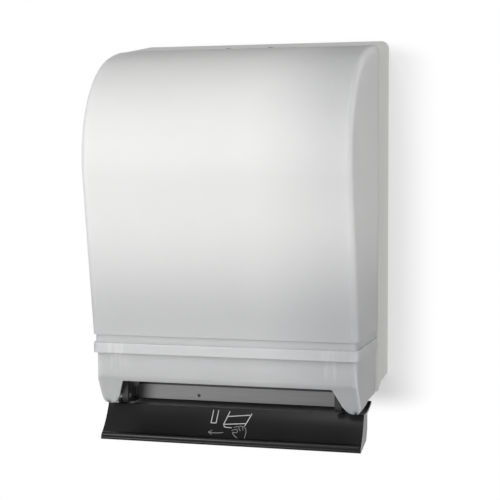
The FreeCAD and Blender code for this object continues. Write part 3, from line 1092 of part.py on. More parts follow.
def make_roll_arms():
    made = []
    reach = "(roll_depth - roll_arm_hinge_depth)"
    for name, hand in HANDS:
        arm = new_body(f"{name}_roll_arm", x=f"{hand} * (roll_arm_inner + roll_arm_thickness / 2)",
                       depth="roll_arm_hinge_depth", rise="roll_rise")
        outline = side([
            ("0", "-roll_arm_root / 2"),
            (f"{reach} + roll_arm_tip", "-roll_arm_tip", "round", "roll_arm_tip * 0.9"),
            (f"{reach} + roll_arm_tip", "roll_arm_tip", "round", "roll_arm_tip * 0.9"),
            ("0", "roll_arm_root / 2")])
        pad(arm, "blade", sketch_on(arm, "YZ", "outline", [outline]), "roll_arm_thickness", both=True)
        barrel = sketch_on(arm, "XY", "barrel", circles=[("0", "0", "arm_barrel_radius")])
        pad(arm, "hinge_barrel", barrel, "arm_barrel_half * 2", both=True)
        rib = sketch_on(arm, "XY", "rib", outlines=[[
            ("0", "-arm_barrel_radius / 2"),
            (f"{hand} * (roll_arm_thickness / 2 + rib_height)", "-arm_barrel_radius"),
            (f"{hand} * (roll_arm_thickness / 2 + rib_height / 2)",
             f"-{reach} + plug_shaft_radius * 3"),
            ("0", f"-{reach} + plug_shaft_radius * 3")]])
        pad(arm, "stiffening_rib", rib, "rib_width", both=True)
        bore = sketch_on(arm, "XY", "pin_bore", circles=[("0", "0", "arm_pin_radius + running_fit")])
        pocket(arm, "hinge_bore", bore)
        seat = sketch_on(arm, "YZ", "plug_seat", circles=[
            (f"-{reach}", "0", "plug_shaft_radius + running_fit")])
        pocket(arm, "plug_bore", seat)

        plug = new_body(f"{name}_core_plug", x=f"{hand} * roll_arm_inner", depth="roll_depth",
                        rise="roll_rise")
        head = "roll_arm_thickness + seat_gap"
        face = "plug_flange_width + seat_gap"
        profile = [(f"-({head})", "0"), (f"{face} + plug_length", "0"),
                   (f"{face} + plug_length", "plug_tip_radius"), (face, "plug_radius"),
                   (face, "plug_flange"), ("seat_gap", "plug_flange"),
                   ("seat_gap", "plug_shaft_radius"), (f"-({head})", "plug_shaft_radius")]
        spin(plug, "turned", [(f"-({hand}) * ({x})", r) for x, r in profile])

        pin = new_body(f"{name}_arm_pin", x=f"{hand} * (roll_arm_inner + roll_arm_thickness / 2)",
                       depth="roll_arm_hinge_depth", rise="roll_rise")
        far = "(arm_barrel_half + seat_gap + lug_thickness)"
        shank = sketch_on(pin, "XY", "shank", offset=f"-{far}", circles=[("0", "0", "arm_pin_radius")])
        pad(pin, "rod", shank, f"{far} * 2")
        made += [arm, plug, pin]
    return made


# ---------------------------------------------------------------- transfer bar and latch

def make_transfer_bar():
    body = new_body("transfer_bar", depth="transfer_depth", rise="transfer_rise")
    spin(body, "axle", tube_points("-frame_outer", "frame_outer", "0", "transfer_radius"))
    web = sketch_on(body, "YZ", "web", outlines=[side(box_points(
        "-transfer_wall / 2", "-transfer_length", "transfer_wall / 2", "0"))])
    pad(body, "blade", web, "transfer_width", both=True)
    bead = sketch_on(body, "YZ", "bead", circles=[("0", "-transfer_length", "transfer_radius")])
    pad(body, "bead_pad", bead, "transfer_width", both=True)
    window = sketch_on(body, "XZ", "window", outlines=[box_points(
        "-transfer_width / 2 + transfer_length / 4", "-transfer_length * 0.75",
        "-transfer_length / 8", "-transfer_length * 0.3")])
    left = pocket(body, "left_window", window, "transfer_radius * 4", both=True)
    pair = body.newObject("PartDesign::Mirrored", "transfer_bar_windows")
    pair.Originals = [left]
    pair.MirrorPlane = (origin_feature(body, "YZ_Plane"), [""])
    body.Tip = pair
    return [body]


def make_latch_parts():
    at = {"depth": "latch_pivot_depth", "rise": "latch_pivot_rise"}
    latch = new_body("latch", **at)
    blade = side([
        ("-latch_heel", "-latch_wall / 2"), ("latch_length - latch_wall", "-latch_wall / 2"),
        ("latch_length", "-latch_wall * 1.8"), ("latch_length + latch_wall", "-latch_wall * 1.8"),
        ("latch_length - latch_wall / 3", "latch_wall / 2"), ("-latch_heel", "latch_wall / 2")])
    pad(latch, "blade", sketch_on(latch, "YZ", "outline", [blade]), "latch_half_width * 2", both=True)
    barrel = sketch_on(latch, "YZ", "barrel", circles=[("0", "0", "latch_pin_radius * 2")])
    pad(latch, "barrel_pad", barrel, "latch_half_width * 2", both=True)
    bore = sketch_on(latch, "YZ", "bore", circles=[("0", "0", "latch_pin_radius + running_fit")])
    pocket(latch, "pin_bore", bore)

    pin = new_body("latch_pin", **at)
    ends = "latch_half_width + seat_gap + lug_thickness"
    spin(pin, "rod", tube_points(f"-({ends})", ends, "0", "latch_pin_radius"))

    wire, radius = size("latch_spring_wire"), size("latch_spring_radius")
    fall = "(case_rise - seam_rise) / case_depth"
    heel = "(latch_pivot_depth - latch_heel + latch_spring_radius + 1)"
    lowest = size("latch_pivot_rise + latch_wall / 2 + seat_gap") + wire
    highest = size(f"case_rise - {fall} * ({heel} + latch_spring_radius) - case_wall * 1.05") - wire
    turns = size("latch_spring_turns")
    shape = coil(wire, radius, (highest - lowest) / turns, turns)
    spring = shaped("latch_spring", shape, heel, str(lowest))
    return [latch, pin, spring]


# ---------------------------------------------------------------- fasteners

DIRECTIONS = {"forward": Vector(0, -1, 0), "right": Vector(1, 0, 0)}


def screw_group(name, spots, facing, radius, length):
    """Hex head screws at (x, depth, rise) under their heads, the heads on the side they face."""
    way = DIRECTIONS[facing]
    turn = FreeCAD.Rotation(Vector(0, 0, 1), way)
    made = []
    for number, (x, depth, rise) in enumerate(spots, 1):
        where = Vector(size(x), -size(depth), size(rise))
        shank = doc.addObject("Part::Cylinder", f"{name}_{number}_shank")
        bind(shank, "Height", length)
        bind(shank, "Radius", radius)
        shank.Placement = FreeCAD.Placement(where - way * size(length), turn)
        head = doc.addObject("Part::Prism", f"{name}_{number}_head")
        bind(head, "Height", f"{radius} * head_height")
        bind(head, "Circumradius", f"{radius} * head_spread")
        head.Placement = FreeCAD.Placement(where, turn)
        screw = doc.addObject("Part::Fuse", f"{name}_{number}")
        screw.Base, screw.Tool = shank, head
        made.append(screw)
    group = doc.addObject("Part::Compound", name)
    group.Links = made
    return group


def make_fasteners():
    frame = [(f"{hand} * foot_screw_offset", "frame_back + frame_skin", f"-{level}_foot_drop")
             for _, hand in HANDS for level in ("upper", "lower")]
    drive = [("drive_cover_inner + drive_cover_wall", depth, rise) for depth, rise in DRIVE_POSTS]
    sector = [("arm_inner + arm_thickness", f"pivot_depth + {depth}", f"-pivot_drop + ({rise})")
              for depth, rise in SECTOR_SCREWS]
    tear = [(f"{hand} * (frame_inner + frame_thickness / 2)", "frame_front + tear_thickness",
             "tear_screw_rise") for _, hand in HANDS]
    return [screw_group("frame_screws", frame, "forward", "screw_radius", "frame_back * 0.5"),
            screw_group("drive_cover_screws", drive, "right", "small_screw_radius",
                        "drive_cover_inner + drive_cover_wall - frame_outer + frame_skin / 2"),
            screw_group("sector_screws", sector, "right", "small_screw_radius",
                        "arm_thickness + gear_width"),
            screw_group("tear_bar_screws", tear, "forward", "small_screw_radius",
                        "tear_thickness + frame_skin * 0.8")]


# ---------------------------------------------------------------- build and write

parts = [make_case(), make_cover(), make_rear_guide(), make_exit_plate(), make_tear_bar()]
parts += [make_frame(name, hand) for name, hand in HANDS]
parts += [make_lever(), make_sector_gear()] + make_feed_parts() + make_pinch_parts()
parts += [doc.getObject("grip_sleeves"), make_return_spring()] + make_pins() + make_bumpers()
parts += make_drive_cover() + make_roll_arms() + make_transfer_bar() + make_latch_parts()
parts += make_fasteners()

doc.recompute()
for thing in doc.Objects:
    if "Invalid" in thing.State or "Error" in thing.State:
        raise RuntimeError(f"{thing.Name} did not build: {thing.State}")
os.makedirs("parts", exist_ok=True)
for part in parts:
    if part.Shape.isNull() or not part.Shape.isValid():
        raise RuntimeError(f"{part.Name} has no valid shape")
    part.Shape.exportStep(f"parts/{part.Name}.step")
    print(part.Name, len(part.Shape.Solids), round(part.Shape.Volume))
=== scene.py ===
# %% [markdown]
# # Lever paper towel dispenser
# The real object hangs on a wall: a white rear case, a milky cover that shuts over it, a black
# lever bar below, and rollers and frames between them. Its shapes could be drawn again from
# nothing, but the look would then drift away from the part.

# %% Load the CAD part
import json
import math

import bmesh
import bpy
import numpy as np
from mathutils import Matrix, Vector


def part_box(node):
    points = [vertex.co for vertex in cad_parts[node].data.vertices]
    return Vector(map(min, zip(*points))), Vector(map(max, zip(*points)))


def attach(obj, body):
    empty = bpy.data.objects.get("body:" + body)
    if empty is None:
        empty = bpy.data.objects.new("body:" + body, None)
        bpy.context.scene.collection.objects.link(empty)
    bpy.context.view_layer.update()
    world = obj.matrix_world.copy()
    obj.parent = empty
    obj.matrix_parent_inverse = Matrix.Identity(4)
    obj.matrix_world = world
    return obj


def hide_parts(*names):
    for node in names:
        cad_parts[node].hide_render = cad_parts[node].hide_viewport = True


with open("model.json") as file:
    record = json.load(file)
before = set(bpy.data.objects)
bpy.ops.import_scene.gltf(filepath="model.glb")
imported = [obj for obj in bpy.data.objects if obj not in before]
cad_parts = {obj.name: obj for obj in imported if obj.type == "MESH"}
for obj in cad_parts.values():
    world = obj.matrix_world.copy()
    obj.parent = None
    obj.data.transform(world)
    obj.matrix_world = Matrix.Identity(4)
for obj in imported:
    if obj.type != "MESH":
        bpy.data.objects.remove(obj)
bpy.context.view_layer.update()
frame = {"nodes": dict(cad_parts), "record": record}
nodes = frame["nodes"]
body_of_node = {name: body for body, names in frame["record"]["behaviour"]["bodies"].items()
                for name in names}
slot_of_node = {part["node"]: part["material_slot"] for part in frame["record"]["subparts"]}
MM = 0.001

# %% [markdown]
# ## Sums on shader sockets
# A finish is a web of nodes, and a web hides the formula that it stands for. It could be wired
# by hand, with a node and two links for every sum. Here `Wire` wraps one output socket and turns
# `+`, `-`, `*` and `**` into Math nodes, with a plain number on either side, so that the formula
# can be read.

# %% Sockets that can be added and multiplied


class Wire:
    """One output socket of a tree of nodes. Arithmetic on it adds Math nodes."""

    def __init__(self, home, socket):
        self.home, self.socket = home, socket

    def __add__(self, other):
        return self.home.sum_of("ADD", self, other)

    def __radd__(self, other):
        return self.home.sum_of("ADD", other, self)

    def __sub__(self, other):
        return self.home.sum_of("SUBTRACT", self, other)

    def __rsub__(self, other):
        return self.home.sum_of("SUBTRACT", other, self)

    def __mul__(self, other):
        return self.home.sum_of("MULTIPLY", self, other)

    def __rmul__(self, other):
        return self.home.sum_of("MULTIPLY", other, self)

    def __pow__(self, power):
        return self.home.sum_of("POWER", self, power)

    def __rpow__(self, base):
        return self.home.sum_of("POWER", base, self)


# %% [markdown]
# ## One way to add a node
# Every other node comes from `ShaderTree.add`, which takes the node's type, its settings and the
# values or links of its inputs. A helper for each kind of node would also do, but then every new
# kind needs new code. The world has a tree of nodes as a material has, so both are made with it.

# %% A tree of nodes


class ShaderTree:
    """The nodes of a material or of the world, with one method that adds any node."""

    def __init__(self, owner):
        owner.use_nodes = True
        self.owner, self.tree = owner, owner.node_tree
        self.tree.nodes.clear()

    def add(self, kind, settings=None, inputs=None, output=0):
        """Sets a new node's settings first and its inputs after them. It gives one output as a
        Wire, or a list of them where output is a tuple of names."""
        node = self.tree.nodes.new(kind)
        for name, value in (settings or {}).items():
            setattr(node, name, value)
        for name, value in (inputs or {}).items():
            if isinstance(value, Wire):
                self.tree.links.new(value.socket, node.inputs[name])
            else:
                node.inputs[name].default_value = value
        if isinstance(output, tuple):
            return [Wire(self, node.outputs[name]) for name in output]
        return Wire(self, node.outputs[output])

    def sum_of(self, operation, first, second=0.0):
        """A Math node, also for what Python has no sign for, such as MAXIMUM."""
        return self.add("ShaderNodeMath", {"operation": operation}, {0: first, 1: second})

    def surface(self, shader, kind="ShaderNodeOutputMaterial"):
        """Ends the tree in this shader and gives its material or world."""
        self.add(kind, {}, {"Surface": shader}, output=())
        return self.owner


# %% [markdown]
# ## Patterns that the finishes share
# A real surface never has one even tone: its colour drifts in soft clouds, grain and tool marks
# break the light, and a shade ends in a soft step. Images could hold all that, but they have to be
# wrapped round each piece. Formulas on the place give it to every piece, at any size.

# %% Clouds, blends, steps and relief
NOISE_ROUGHNESS = 0.55


class Finish(ShaderTree):
    """A material's tree of nodes. Its place is the point in Object coordinates: every piece
    stands at the origin, so these are metres from the origin of the whole dispenser."""

    def __init__(self, name):
        super().__init__(bpy.data.materials.new(name))
        self.place = self.add("ShaderNodeTexCoord", output="Object")

    def across_and_rise(self):
        """The place along the width and up the height, as two wires."""
        return self.add("ShaderNodeSeparateXYZ", {}, {"Vector": self.place}, output=("X", "Z"))

    def noise(self, size, stretch=(1, 1, 1), detail=3.0):
        """Cloudy values from 0 to 1 whose lumps are about `size` metres, stretched by axis."""
        mapped = self.add("ShaderNodeMapping", {}, {"Vector": self.place,
                                                    "Scale": [1 / (size * s) for s in stretch]})
        return self.add("ShaderNodeTexNoise", {}, {"Vector": mapped, "Scale": 1.0,
                                                   "Detail": detail,
                                                   "Roughness": NOISE_ROUGHNESS})

    def blend(self, factor, first, second):
        """From the first tone to the second as factor goes from 0 to 1. Each tone is a colour or
        a wire that carries one."""
        tones = [tone if isinstance(tone, Wire) else (*tone, 1.0) for tone in (first, second)]
        return self.add("ShaderNodeMix", {"data_type": "RGBA"},
                        {0: factor, 6: tones[0], 7: tones[1]}, output=2)

    def step_down(self, value, low, high):
        """1 where value is below low, 0 above high, with a smooth step between."""
        return self.add("ShaderNodeMapRange", {"interpolation_type": "SMOOTHSTEP"},
                        {"Value": value, "From Min": low, "From Max": high,
                         "To Min": 1.0, "To Max": 0.0})

    def bump(self, height, strength, depth):
        """Tilts the normal as a relief of this height would, depth in metres."""
        return self.add("ShaderNodeBump", {}, {"Strength": strength, "Distance": depth,
                                               "Height": height})

    def principled(self, **inputs):
        """A material of one Principled shader. Its sockets are named with _ for a space."""
        names = {name.replace("_", " "): value for name, value in inputs.items()}
        return self.surface(self.add("ShaderNodeBsdfPrincipled", {}, names))


# %% [markdown]
# ## Painted shade on the cover
# Behind the real cover stand black rollers and frames, which darken it through the milky plastic.
# The cover's colour carries painted shade in their place: darker toward the foot, toward the right
# side and a little on the crown. Near both sides of the lower band, pale stripes are painted
# highlights where ribs inside would catch the light. Letting the true inside shine through is one
# way to get this, but it is unlit and would only turn the cover dark. So each painted tone is a
# smooth step by place, in metres, with a share of its own that can be set by eye.

# %% Painted shade and painted highlights of the cover, by place
# Painted shade: where it darkens the cover and by how much; painted highlights: where the pale
# stripes lie.
LOW_SHADE_STEP, LOW_SHADE_SHARE = (-0.105, 0.015), 0.41
RIGHT_SHADE_STEP, RIGHT_SHADE_END, RIGHT_SHADE_SHARE = (0.030, 0.128), (0.135, 0.141), 0.20
FAR_UP_SHADE_STEP, FAR_UP_SHADE_SHARE = (-0.02, 0.14), 0.16
CROWN_SHADE_STEP, CROWN_SHADE_SHARE = (0.07, 0.13), 0.06
GLINT_INNER, GLINT_OUTER = (0.098, 0.108), (0.120, 0.130)
GLINT_FOOT, GLINT_TOP = (-0.166, -0.152), (-0.132, -0.124)
GLINT_WIDTH, GLINT_LENGTH = 0.0040, (1, 1, 60)
GLINT_CUT, GLINT_SHARE = (0.40, 0.60), 0.12


def painted_cover_shade(it):
    """How much painted shade the cover gets, from 0 for its clear tone to 1 for its dark one. Each
    share is taken from what the others leave: 1 - (1 - low) (1 - right) (1 - crown) (1 + glints),
    and the glints are painted highlights that take shade away."""
    across, rise = it.across_and_rise()
    low = it.step_down(rise, *LOW_SHADE_STEP)
    right = (1.0 - it.step_down(across, *RIGHT_SHADE_STEP)) * it.step_down(across, *RIGHT_SHADE_END)
    far_up = 1.0 - it.step_down(rise, *FAR_UP_SHADE_STEP)
    crown = 1.0 - it.step_down(rise, *CROWN_SHADE_STEP)
    # Pale stripes near both sides of the lower band: painted highlights where ribs inside would
    # catch the light.
    aside = it.sum_of("ABSOLUTE", across)
    beside = (1.0 - it.step_down(aside, *GLINT_INNER)) * it.step_down(aside, *GLINT_OUTER)
    height = it.step_down(rise, *GLINT_TOP) * (1.0 - it.step_down(rise, *GLINT_FOOT))
    glint_noise = it.noise(GLINT_WIDTH, stretch=GLINT_LENGTH, detail=2.0)
    lines = beside * height * it.step_down(1.0 - glint_noise, *GLINT_CUT)
    # Painted shade low, on the right and on the crown, lighter where the painted highlights lie.
    return 1.0 - ((1.0 - low * LOW_SHADE_SHARE)
                  * (1.0 - right * (far_up * FAR_UP_SHADE_SHARE + RIGHT_SHADE_SHARE))
                  * (1.0 - crown * CROWN_SHADE_SHARE) * (1.0 + lines * GLINT_SHARE))


# %% [markdown]
# ## Milky cover plastic
# The cover is one thin moulding. Light goes into it, scatters and comes out close by, which
# takes the hardness out of every edge. Transmission would show what stands behind too sharply,
# and plain white paint would look like chalk, so one Principled shader scatters light under the
# surface. Its clear tone and its roughness wander slightly over the moulding.

# %% Milky cover plastic
CLEAR_TONES = (0.90, 0.895, 0.885), (0.93, 0.925, 0.915)
# The dark tone is the colour of the cover's painted shade.
PAINTED_SHADE_TONE = (0.0, 0.015, 0.045)
COVER_CLOUD, COVER_GRAIN = 0.06, 0.0007
GRAIN_DEPTH = 0.0001


def milky_plastic():
    it = Finish("milky_cover")
    cloud = it.noise(COVER_CLOUD)
    grain = it.noise(COVER_GRAIN, detail=2.0)
    # The clear tone runs toward the dark tone by the cover's painted shade and painted highlights.
    tone_with_painted_shade = it.blend(painted_cover_shade(it), it.blend(cloud, *CLEAR_TONES), PAINTED_SHADE_TONE)
    return it.principled(Base_Color=tone_with_painted_shade, Roughness=0.58 + cloud * 0.06, IOR=1.46,
                         Subsurface_Weight=0.8, Subsurface_Scale=0.014,
                         Subsurface_Radius=(1.0, 1.0, 1.0),
                         Normal=it.bump(grain, 0.12, GRAIN_DEPTH))


finishes = {"cover_plastic": milky_plastic()}
print("cover nodes", len(finishes["cover_plastic"].node_tree.nodes))

# %% [markdown]
# ## Moulded plastics and rubber
# The case, the lever and the frames are opaque mouldings with a fine grain that sparks ate into
# the mould. Rollers and stops are rubber, with a coarser one. An image could be wrapped round
# each piece, but 41 pieces would have to be unwrapped for it. A noise in Object coordinates needs
# no unwrapping, and it stays on a piece that moves.

# %% Grained plastics
CLOUD_SIZE = 0.045
ROUGHNESS_WANDER = 0.08


def grained_plastic(name, low, high, rough, grain_size=0.0006, relief=0.25, **more):
    """A moulded plastic: two close tones in soft clouds, grain as bump, roughness that wanders."""
    it = Finish(name)
    cloud = it.noise(CLOUD_SIZE)
    grain = it.noise(grain_size, detail=2.0)
    return it.principled(Base_Color=it.blend(cloud, low, high),
                         Roughness=rough + cloud * ROUGHNESS_WANDER,
                         Normal=it.bump(grain, relief, GRAIN_DEPTH), **more)


finishes.update({
    "case_plastic": grained_plastic("case_white", (0.57, 0.57, 0.56), (0.61, 0.61, 0.60), 0.42),
    "black_plastic": grained_plastic("black_moulding", (0.009, 0.009, 0.0095),
                                     (0.017, 0.017, 0.0175), 0.42),
    "lever_plastic": grained_plastic("lever_black", (0.003, 0.003, 0.0032),
                                     (0.006, 0.006, 0.0062), 0.26, relief=0.08,
                                     Specular_IOR_Level=0.33),
    "nylon": grained_plastic("natural_nylon", (0.74, 0.73, 0.68), (0.80, 0.79, 0.75), 0.45),
    "cap_plastic": grained_plastic("cap_grey", (0.50, 0.51, 0.52), (0.56, 0.57, 0.58), 0.34),
    "rubber": grained_plastic("roller_rubber", (0.020, 0.020, 0.020), (0.034, 0.033, 0.032), 0.72,
                              grain_size=0.0012, relief=0.5),
    "sign_ink": grained_plastic("sign_ink", (0.52, 0.52, 0.52), (0.62, 0.62, 0.62), 0.5),
    "painted_shade_ink": grained_plastic("painted_shade_ink", (0.15, 0.15, 0.15), (0.24, 0.24, 0.24), 0.5),
})
print("plastics", sorted(finishes))

# %% [markdown]
# ## Worked metals
# Metal parts differ by how they were worked. The exit plate and the tear bar are sheet, brushed
# along the width. Shafts and pins are turned, so their marks run round the X axis. Wire is drawn
# and screws are plated, with hardly any mark. An anisotropic shader would stretch the highlights,
# but it needs a direction that follows each surface. A noise that is stretched along the width or
# square to it needs none, and reads well from every side.

# %% Worked metals
SHEET_TONES = (0.15, 0.15, 0.152), (0.24, 0.24, 0.243)
BRUSH_WIDTH, BRUSH_LENGTH, BRUSH_DEPTH = 0.0004, (90, 1, 1), 0.00005
RING_WIDTH, RING_LENGTH, RING_DEPTH = 0.00035, (1, 40, 40), 0.00004
SHEET_CLOUD = 0.03


def brushed_sheet():
    it = Finish("brushed_sheet")
    lines = it.noise(BRUSH_WIDTH, stretch=BRUSH_LENGTH, detail=4.0)
    cloud = it.noise(SHEET_CLOUD, stretch=(2, 1, 1))
    return it.principled(Base_Color=it.blend(lines, *SHEET_TONES), Metallic=0.85,
                         Roughness=0.30 + lines * 0.14 + cloud * 0.05,
                         Normal=it.bump(lines, 0.12, BRUSH_DEPTH))


def turned_steel(name, low, high, rough):
    """A bar's finish: fine rings round the X axis in tone, roughness and bump."""
    it = Finish(name)
    rings = it.noise(RING_WIDTH, stretch=RING_LENGTH, detail=3.0)
    return it.principled(Base_Color=it.blend(rings, low, high), Metallic=0.95,
                         Roughness=rough + rings * 0.12, Normal=it.bump(rings, 0.1, RING_DEPTH))


finishes.update({
    "steel_sheet": brushed_sheet(),
    "steel_bar": turned_steel("turned_bar", (0.50, 0.50, 0.51), (0.66, 0.66, 0.66), 0.22),
    "spring_steel": turned_steel("drawn_wire", (0.36, 0.36, 0.37), (0.48, 0.48, 0.48), 0.28),
    "screw_steel": turned_steel("zinc_plate", (0.56, 0.57, 0.55), (0.70, 0.70, 0.66), 0.30),
})
for name, node in nodes.items():
    node.data.materials.clear()
    node.data.materials.append(finishes[slot_of_node[name]])
print("finishes", sorted(finishes))

# %% [markdown]
# ## Putting a piece on its body
# When the lever swings, everything on it has to go along: its bead, its sign, its screws. Parent
# objects could do that, but the joints are known by body, not by piece. So each new piece rides on
# a body and takes a finish.

# %% Dress a piece


def dress(piece, body, finish):
    """Gives a new piece its body and finish."""
    bpy.context.scene.collection.objects.link(piece)
    piece.data.materials.clear()
    piece.data.materials.append(finishes[finish])
    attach(piece, body)
    return piece


# %% [markdown]
# ## The lever's hollow front
# The real bar has a shallow trough in front, in which the hand lies. The CAD bar has that arc
# turned the other way, so it bulges as far as the real one is hollow. A new front surface could
# be drawn, but it would have to be joined to the bar's ends and back again. Sending the bar's own
# points across the chord of the arc keeps all of that joined.

# %% Points sent through a formula
FACE_MIDDLE = np.array([93.59, -260.12])   # depth and rise of the front arc's middle, mm
FACE_RADIUS = 75.0
FACE_TOP = math.radians(52.7)
FACE_FOOT = math.radians(22.85)
FACE_HALF = (FACE_TOP - FACE_FOOT) / 2
FACE_SLANT = (FACE_TOP + FACE_FOOT) / 2
FACE_OUT = np.array([math.cos(FACE_SLANT), math.sin(FACE_SLANT)])   # square to the chord
CHORD_REACH = FACE_RADIUS * math.cos(FACE_HALF)   # from the arc's middle to its chord
HOLLOW_WALL = 5.0
HOLLOW_FADE = 16.0


def reshape(mesh, form):
    """Sends all the points of a mesh through form, which takes and gives an (n, 3) array."""
    points = np.empty(len(mesh.vertices) * 3)
    mesh.vertices.foreach_get("co", points)
    mesh.vertices.foreach_set("co", form(points.reshape(-1, 3)).reshape(-1))


def hollow_front(points):
    """Turns the bar's bulging front into a trough. With u along the chord from the bar's top to
    its nose and v square to it, the arc stands sqrt(R^2 - u^2) - D above the chord, D being the
    chord's distance from the arc's middle. Twice that is taken off v, in full for the front wall
    and fading out behind it."""
    out = FACE_OUT * [-1, 1]
    along = np.array([-out[1], out[0]])
    flat = points[:, 1:] / MM - FACE_MIDDLE * [-1, 1]
    u, v = flat @ along, flat @ out - CHORD_REACH
    rise = np.sqrt(np.maximum(FACE_RADIUS ** 2 - u ** 2, 0.0)) - CHORD_REACH
    share = np.clip((v + HOLLOW_FADE) / (HOLLOW_FADE - HOLLOW_WALL), 0.0, 1.0)
    shift = 2 * np.maximum(rise, 0.0) * share * (np.abs(u) < FACE_RADIUS * np.sin(FACE_HALF))
    shaped = points.copy()
    shaped[:, 1:] -= shift[:, None] * out * MM
    return shaped


print("hollow depth in mm", round(FACE_RADIUS - CHORD_REACH, 2))

# %% [markdown]
# ## The cover's crown and feet
# The real cover swells a little between its seam and the dome, and its two tusks end in round
# feet. The CAD cover is flat on top and its feet are square. The cover could be drawn again with
# more curves, but groove, band and tusks would have to be made again too. Two smooth formulas
# that move its points are enough. Only a point can move, so rows of points are cut in first.

# %% Crown and feet
CROWN_START, CROWN_RUN, CROWN_RISE = 86.0, 102.0, 3.4
CROWN_LOW, CROWN_BLEND = 80.0, 60.0
CROWN_PEAK = 27 / 4   # s (1 - s)^2 is 4/27 at its highest
FOOT_TOP, FOOT_HEIGHT, FOOT_MIDDLE, FOOT_SHARE = -188.5, 10.0, 132.0, 0.95
CROWN_ROWS = 86, 92, 98, 105, 112, 119, 126, 132
FOOT_ROWS = -188.5, -191.5, -194, -196, -197.5
FORWARD, DOWN = (0, -1, 0), (0, 0, -1)
CUTS = {"cover": [(depth, FORWARD) for depth in CROWN_ROWS]
        + [(-rise, DOWN) for rise in FOOT_ROWS]}


def rounder_cover(points):
    """Crowns the cover's flat top and rounds the feet of its tusks. The crown lifts by
    27/4 h s (1 - s)^2, s running from 0 behind the seam to 1 on the dome, times a smooth step by
    height. Each foot is drawn in to its middle by sqrt(1 - t^2), t running down it."""
    across, depth, rise = points[:, 0] / MM, -points[:, 1] / MM, points[:, 2] / MM
    s = np.clip((depth - CROWN_START) / CROWN_RUN, 0.0, 1.0)
    high = np.clip((rise - CROWN_LOW) / CROWN_BLEND, 0.0, 1.0)
    t = FOOT_SHARE * np.clip((FOOT_TOP - rise) / FOOT_HEIGHT, 0.0, 1.0)
    middle = np.sign(across) * FOOT_MIDDLE
    lift = CROWN_RISE * CROWN_PEAK * s * (1.0 - s) ** 2 * high ** 2 * (3 - 2 * high)
    shaped = points.copy()
    shaped[:, 0] = (middle + (across - middle) * np.sqrt(1.0 - t ** 2)) * MM
    shaped[:, 2] += lift * MM
    return shaped


print("cuts through the cover", len(CUTS["cover"]))

# %% [markdown]
# ## The hole in the exit plate
# One small round hole goes through the steel plate. As the CAD has it, it is so small that it
# hardly shows. A new hole could be cut with a Boolean modifier, but the plate has one already, so
# the points of its rim step away from its middle.

# %% Hole
PLATE_HOLE = np.array([-43.0, -192.3])
HOLE_REACH, HOLE_GROWTH = 2.5, 1.4


def wider_hole(points):
    """Scales the points near the hole's axis away from it, by the same share for all."""
    from_hole = points[:, [0, 2]] / MM - PLATE_HOLE
    on_rim = np.linalg.norm(from_hole, axis=1) < HOLE_REACH
    shaped = points.copy()
    shaped[:, [0, 2]] += from_hole * (HOLE_GROWTH - 1.0) * on_rim[:, None] * MM
    return shaped


RESHAPED = {"lever": hollow_front, "cover": rounder_cover, "exit_plate": wider_hole}
print("reshaped", sorted(RESHAPED))

# %% [markdown]
# ## Mouldings with soft edges
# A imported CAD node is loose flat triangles. A moulded or stamped piece catches the light on the
# small rounding of every edge. A Bevel node can fake that rounding in the shader, but the mesh
# itself would stay sharp. So each node gets a finished copy: its corners are merged, flat
# neighbours become one face, a Bevel modifier rounds what is left sharp, and weighted normals
# keep the large faces flat. The copy stands where the node does and replaces it.

# %% How soft each edge is, in mm
EDGE_ROUND = {"cover": 0.7, "case": 0.7, "lever": 0.6, "drive_cover": 0.5, "left_frame": 0.4,
              "right_frame": 0.4, "rear_guide": 0.4, "exit_plate": 0.18, "tear_bar": 0.15,
              "pivot_cap": 0.5, "transfer_bar": 0.4, "latch": 0.3, "left_roll_arm": 0.5,
              "right_roll_arm": 0.5, "left_core_plug": 0.5, "right_core_plug": 0.5,
              "sector_gear": 0.25, "pinion": 0.2, "feed_knob": 0.4, "feed_drum": 0.4,
              "grip_sleeves": 0.25, "pinch_rollers": 0.4}
SMALL_ROUND = 0.15
EDGE_STEPS = 2
SHARP_ANGLE = math.radians(28.0)
FLAT_ANGLE = math.radians(0.2)
NODE_JOIN, FINE_JOIN = 2e-6, 1e-6   # points nearer than this, in metres, are one
print("edges set by name", len(EDGE_ROUND))

# %% Finished copies of the CAD nodes


def smooth_shaded(mesh):
    mesh.polygons.foreach_set("use_smooth", np.ones(len(mesh.polygons), dtype=bool))


def merged_copy(name):
    """A node's mesh with its doubles joined, flat neighbours dissolved and its cuts made."""
    mesh = nodes[name].data.copy()
    mesh.name = name + "_finished"
    whole = bmesh.new()
    whole.from_mesh(mesh)
    bmesh.ops.remove_doubles(whole, verts=whole.verts, dist=NODE_JOIN)
    bmesh.ops.dissolve_limit(whole, angle_limit=FLAT_ANGLE, verts=whole.verts, edges=whole.edges)
    for place, square_to in CUTS.get(name, []):
        bmesh.ops.bisect_plane(whole, geom=whole.verts[:] + whole.edges[:] + whole.faces[:],
                               dist=FINE_JOIN, plane_co=Vector(square_to) * place * MM,
                               plane_no=square_to)
    whole.to_mesh(mesh)
    whole.free()
    return mesh


def finished_copy(name):
    """A merged, reshaped and bevelled copy that replaces its node."""
    mesh = merged_copy(name)
    if name in RESHAPED:
        reshape(mesh, RESHAPED[name])
    smooth_shaded(mesh)
    piece = bpy.data.objects.new(name + "_finished", mesh)
    bevel = piece.modifiers.new("edge_round", "BEVEL")
    bevel.width = EDGE_ROUND.get(name, SMALL_ROUND) * MM
    bevel.segments = EDGE_STEPS
    bevel.limit_method = "ANGLE"
    bevel.angle_limit = SHARP_ANGLE
    normals = piece.modifiers.new("flat_faces", "WEIGHTED_NORMAL")
    normals.keep_sharp = True
    dress(piece, body_of_node[name], slot_of_node[name])
    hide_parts(name)
    return piece


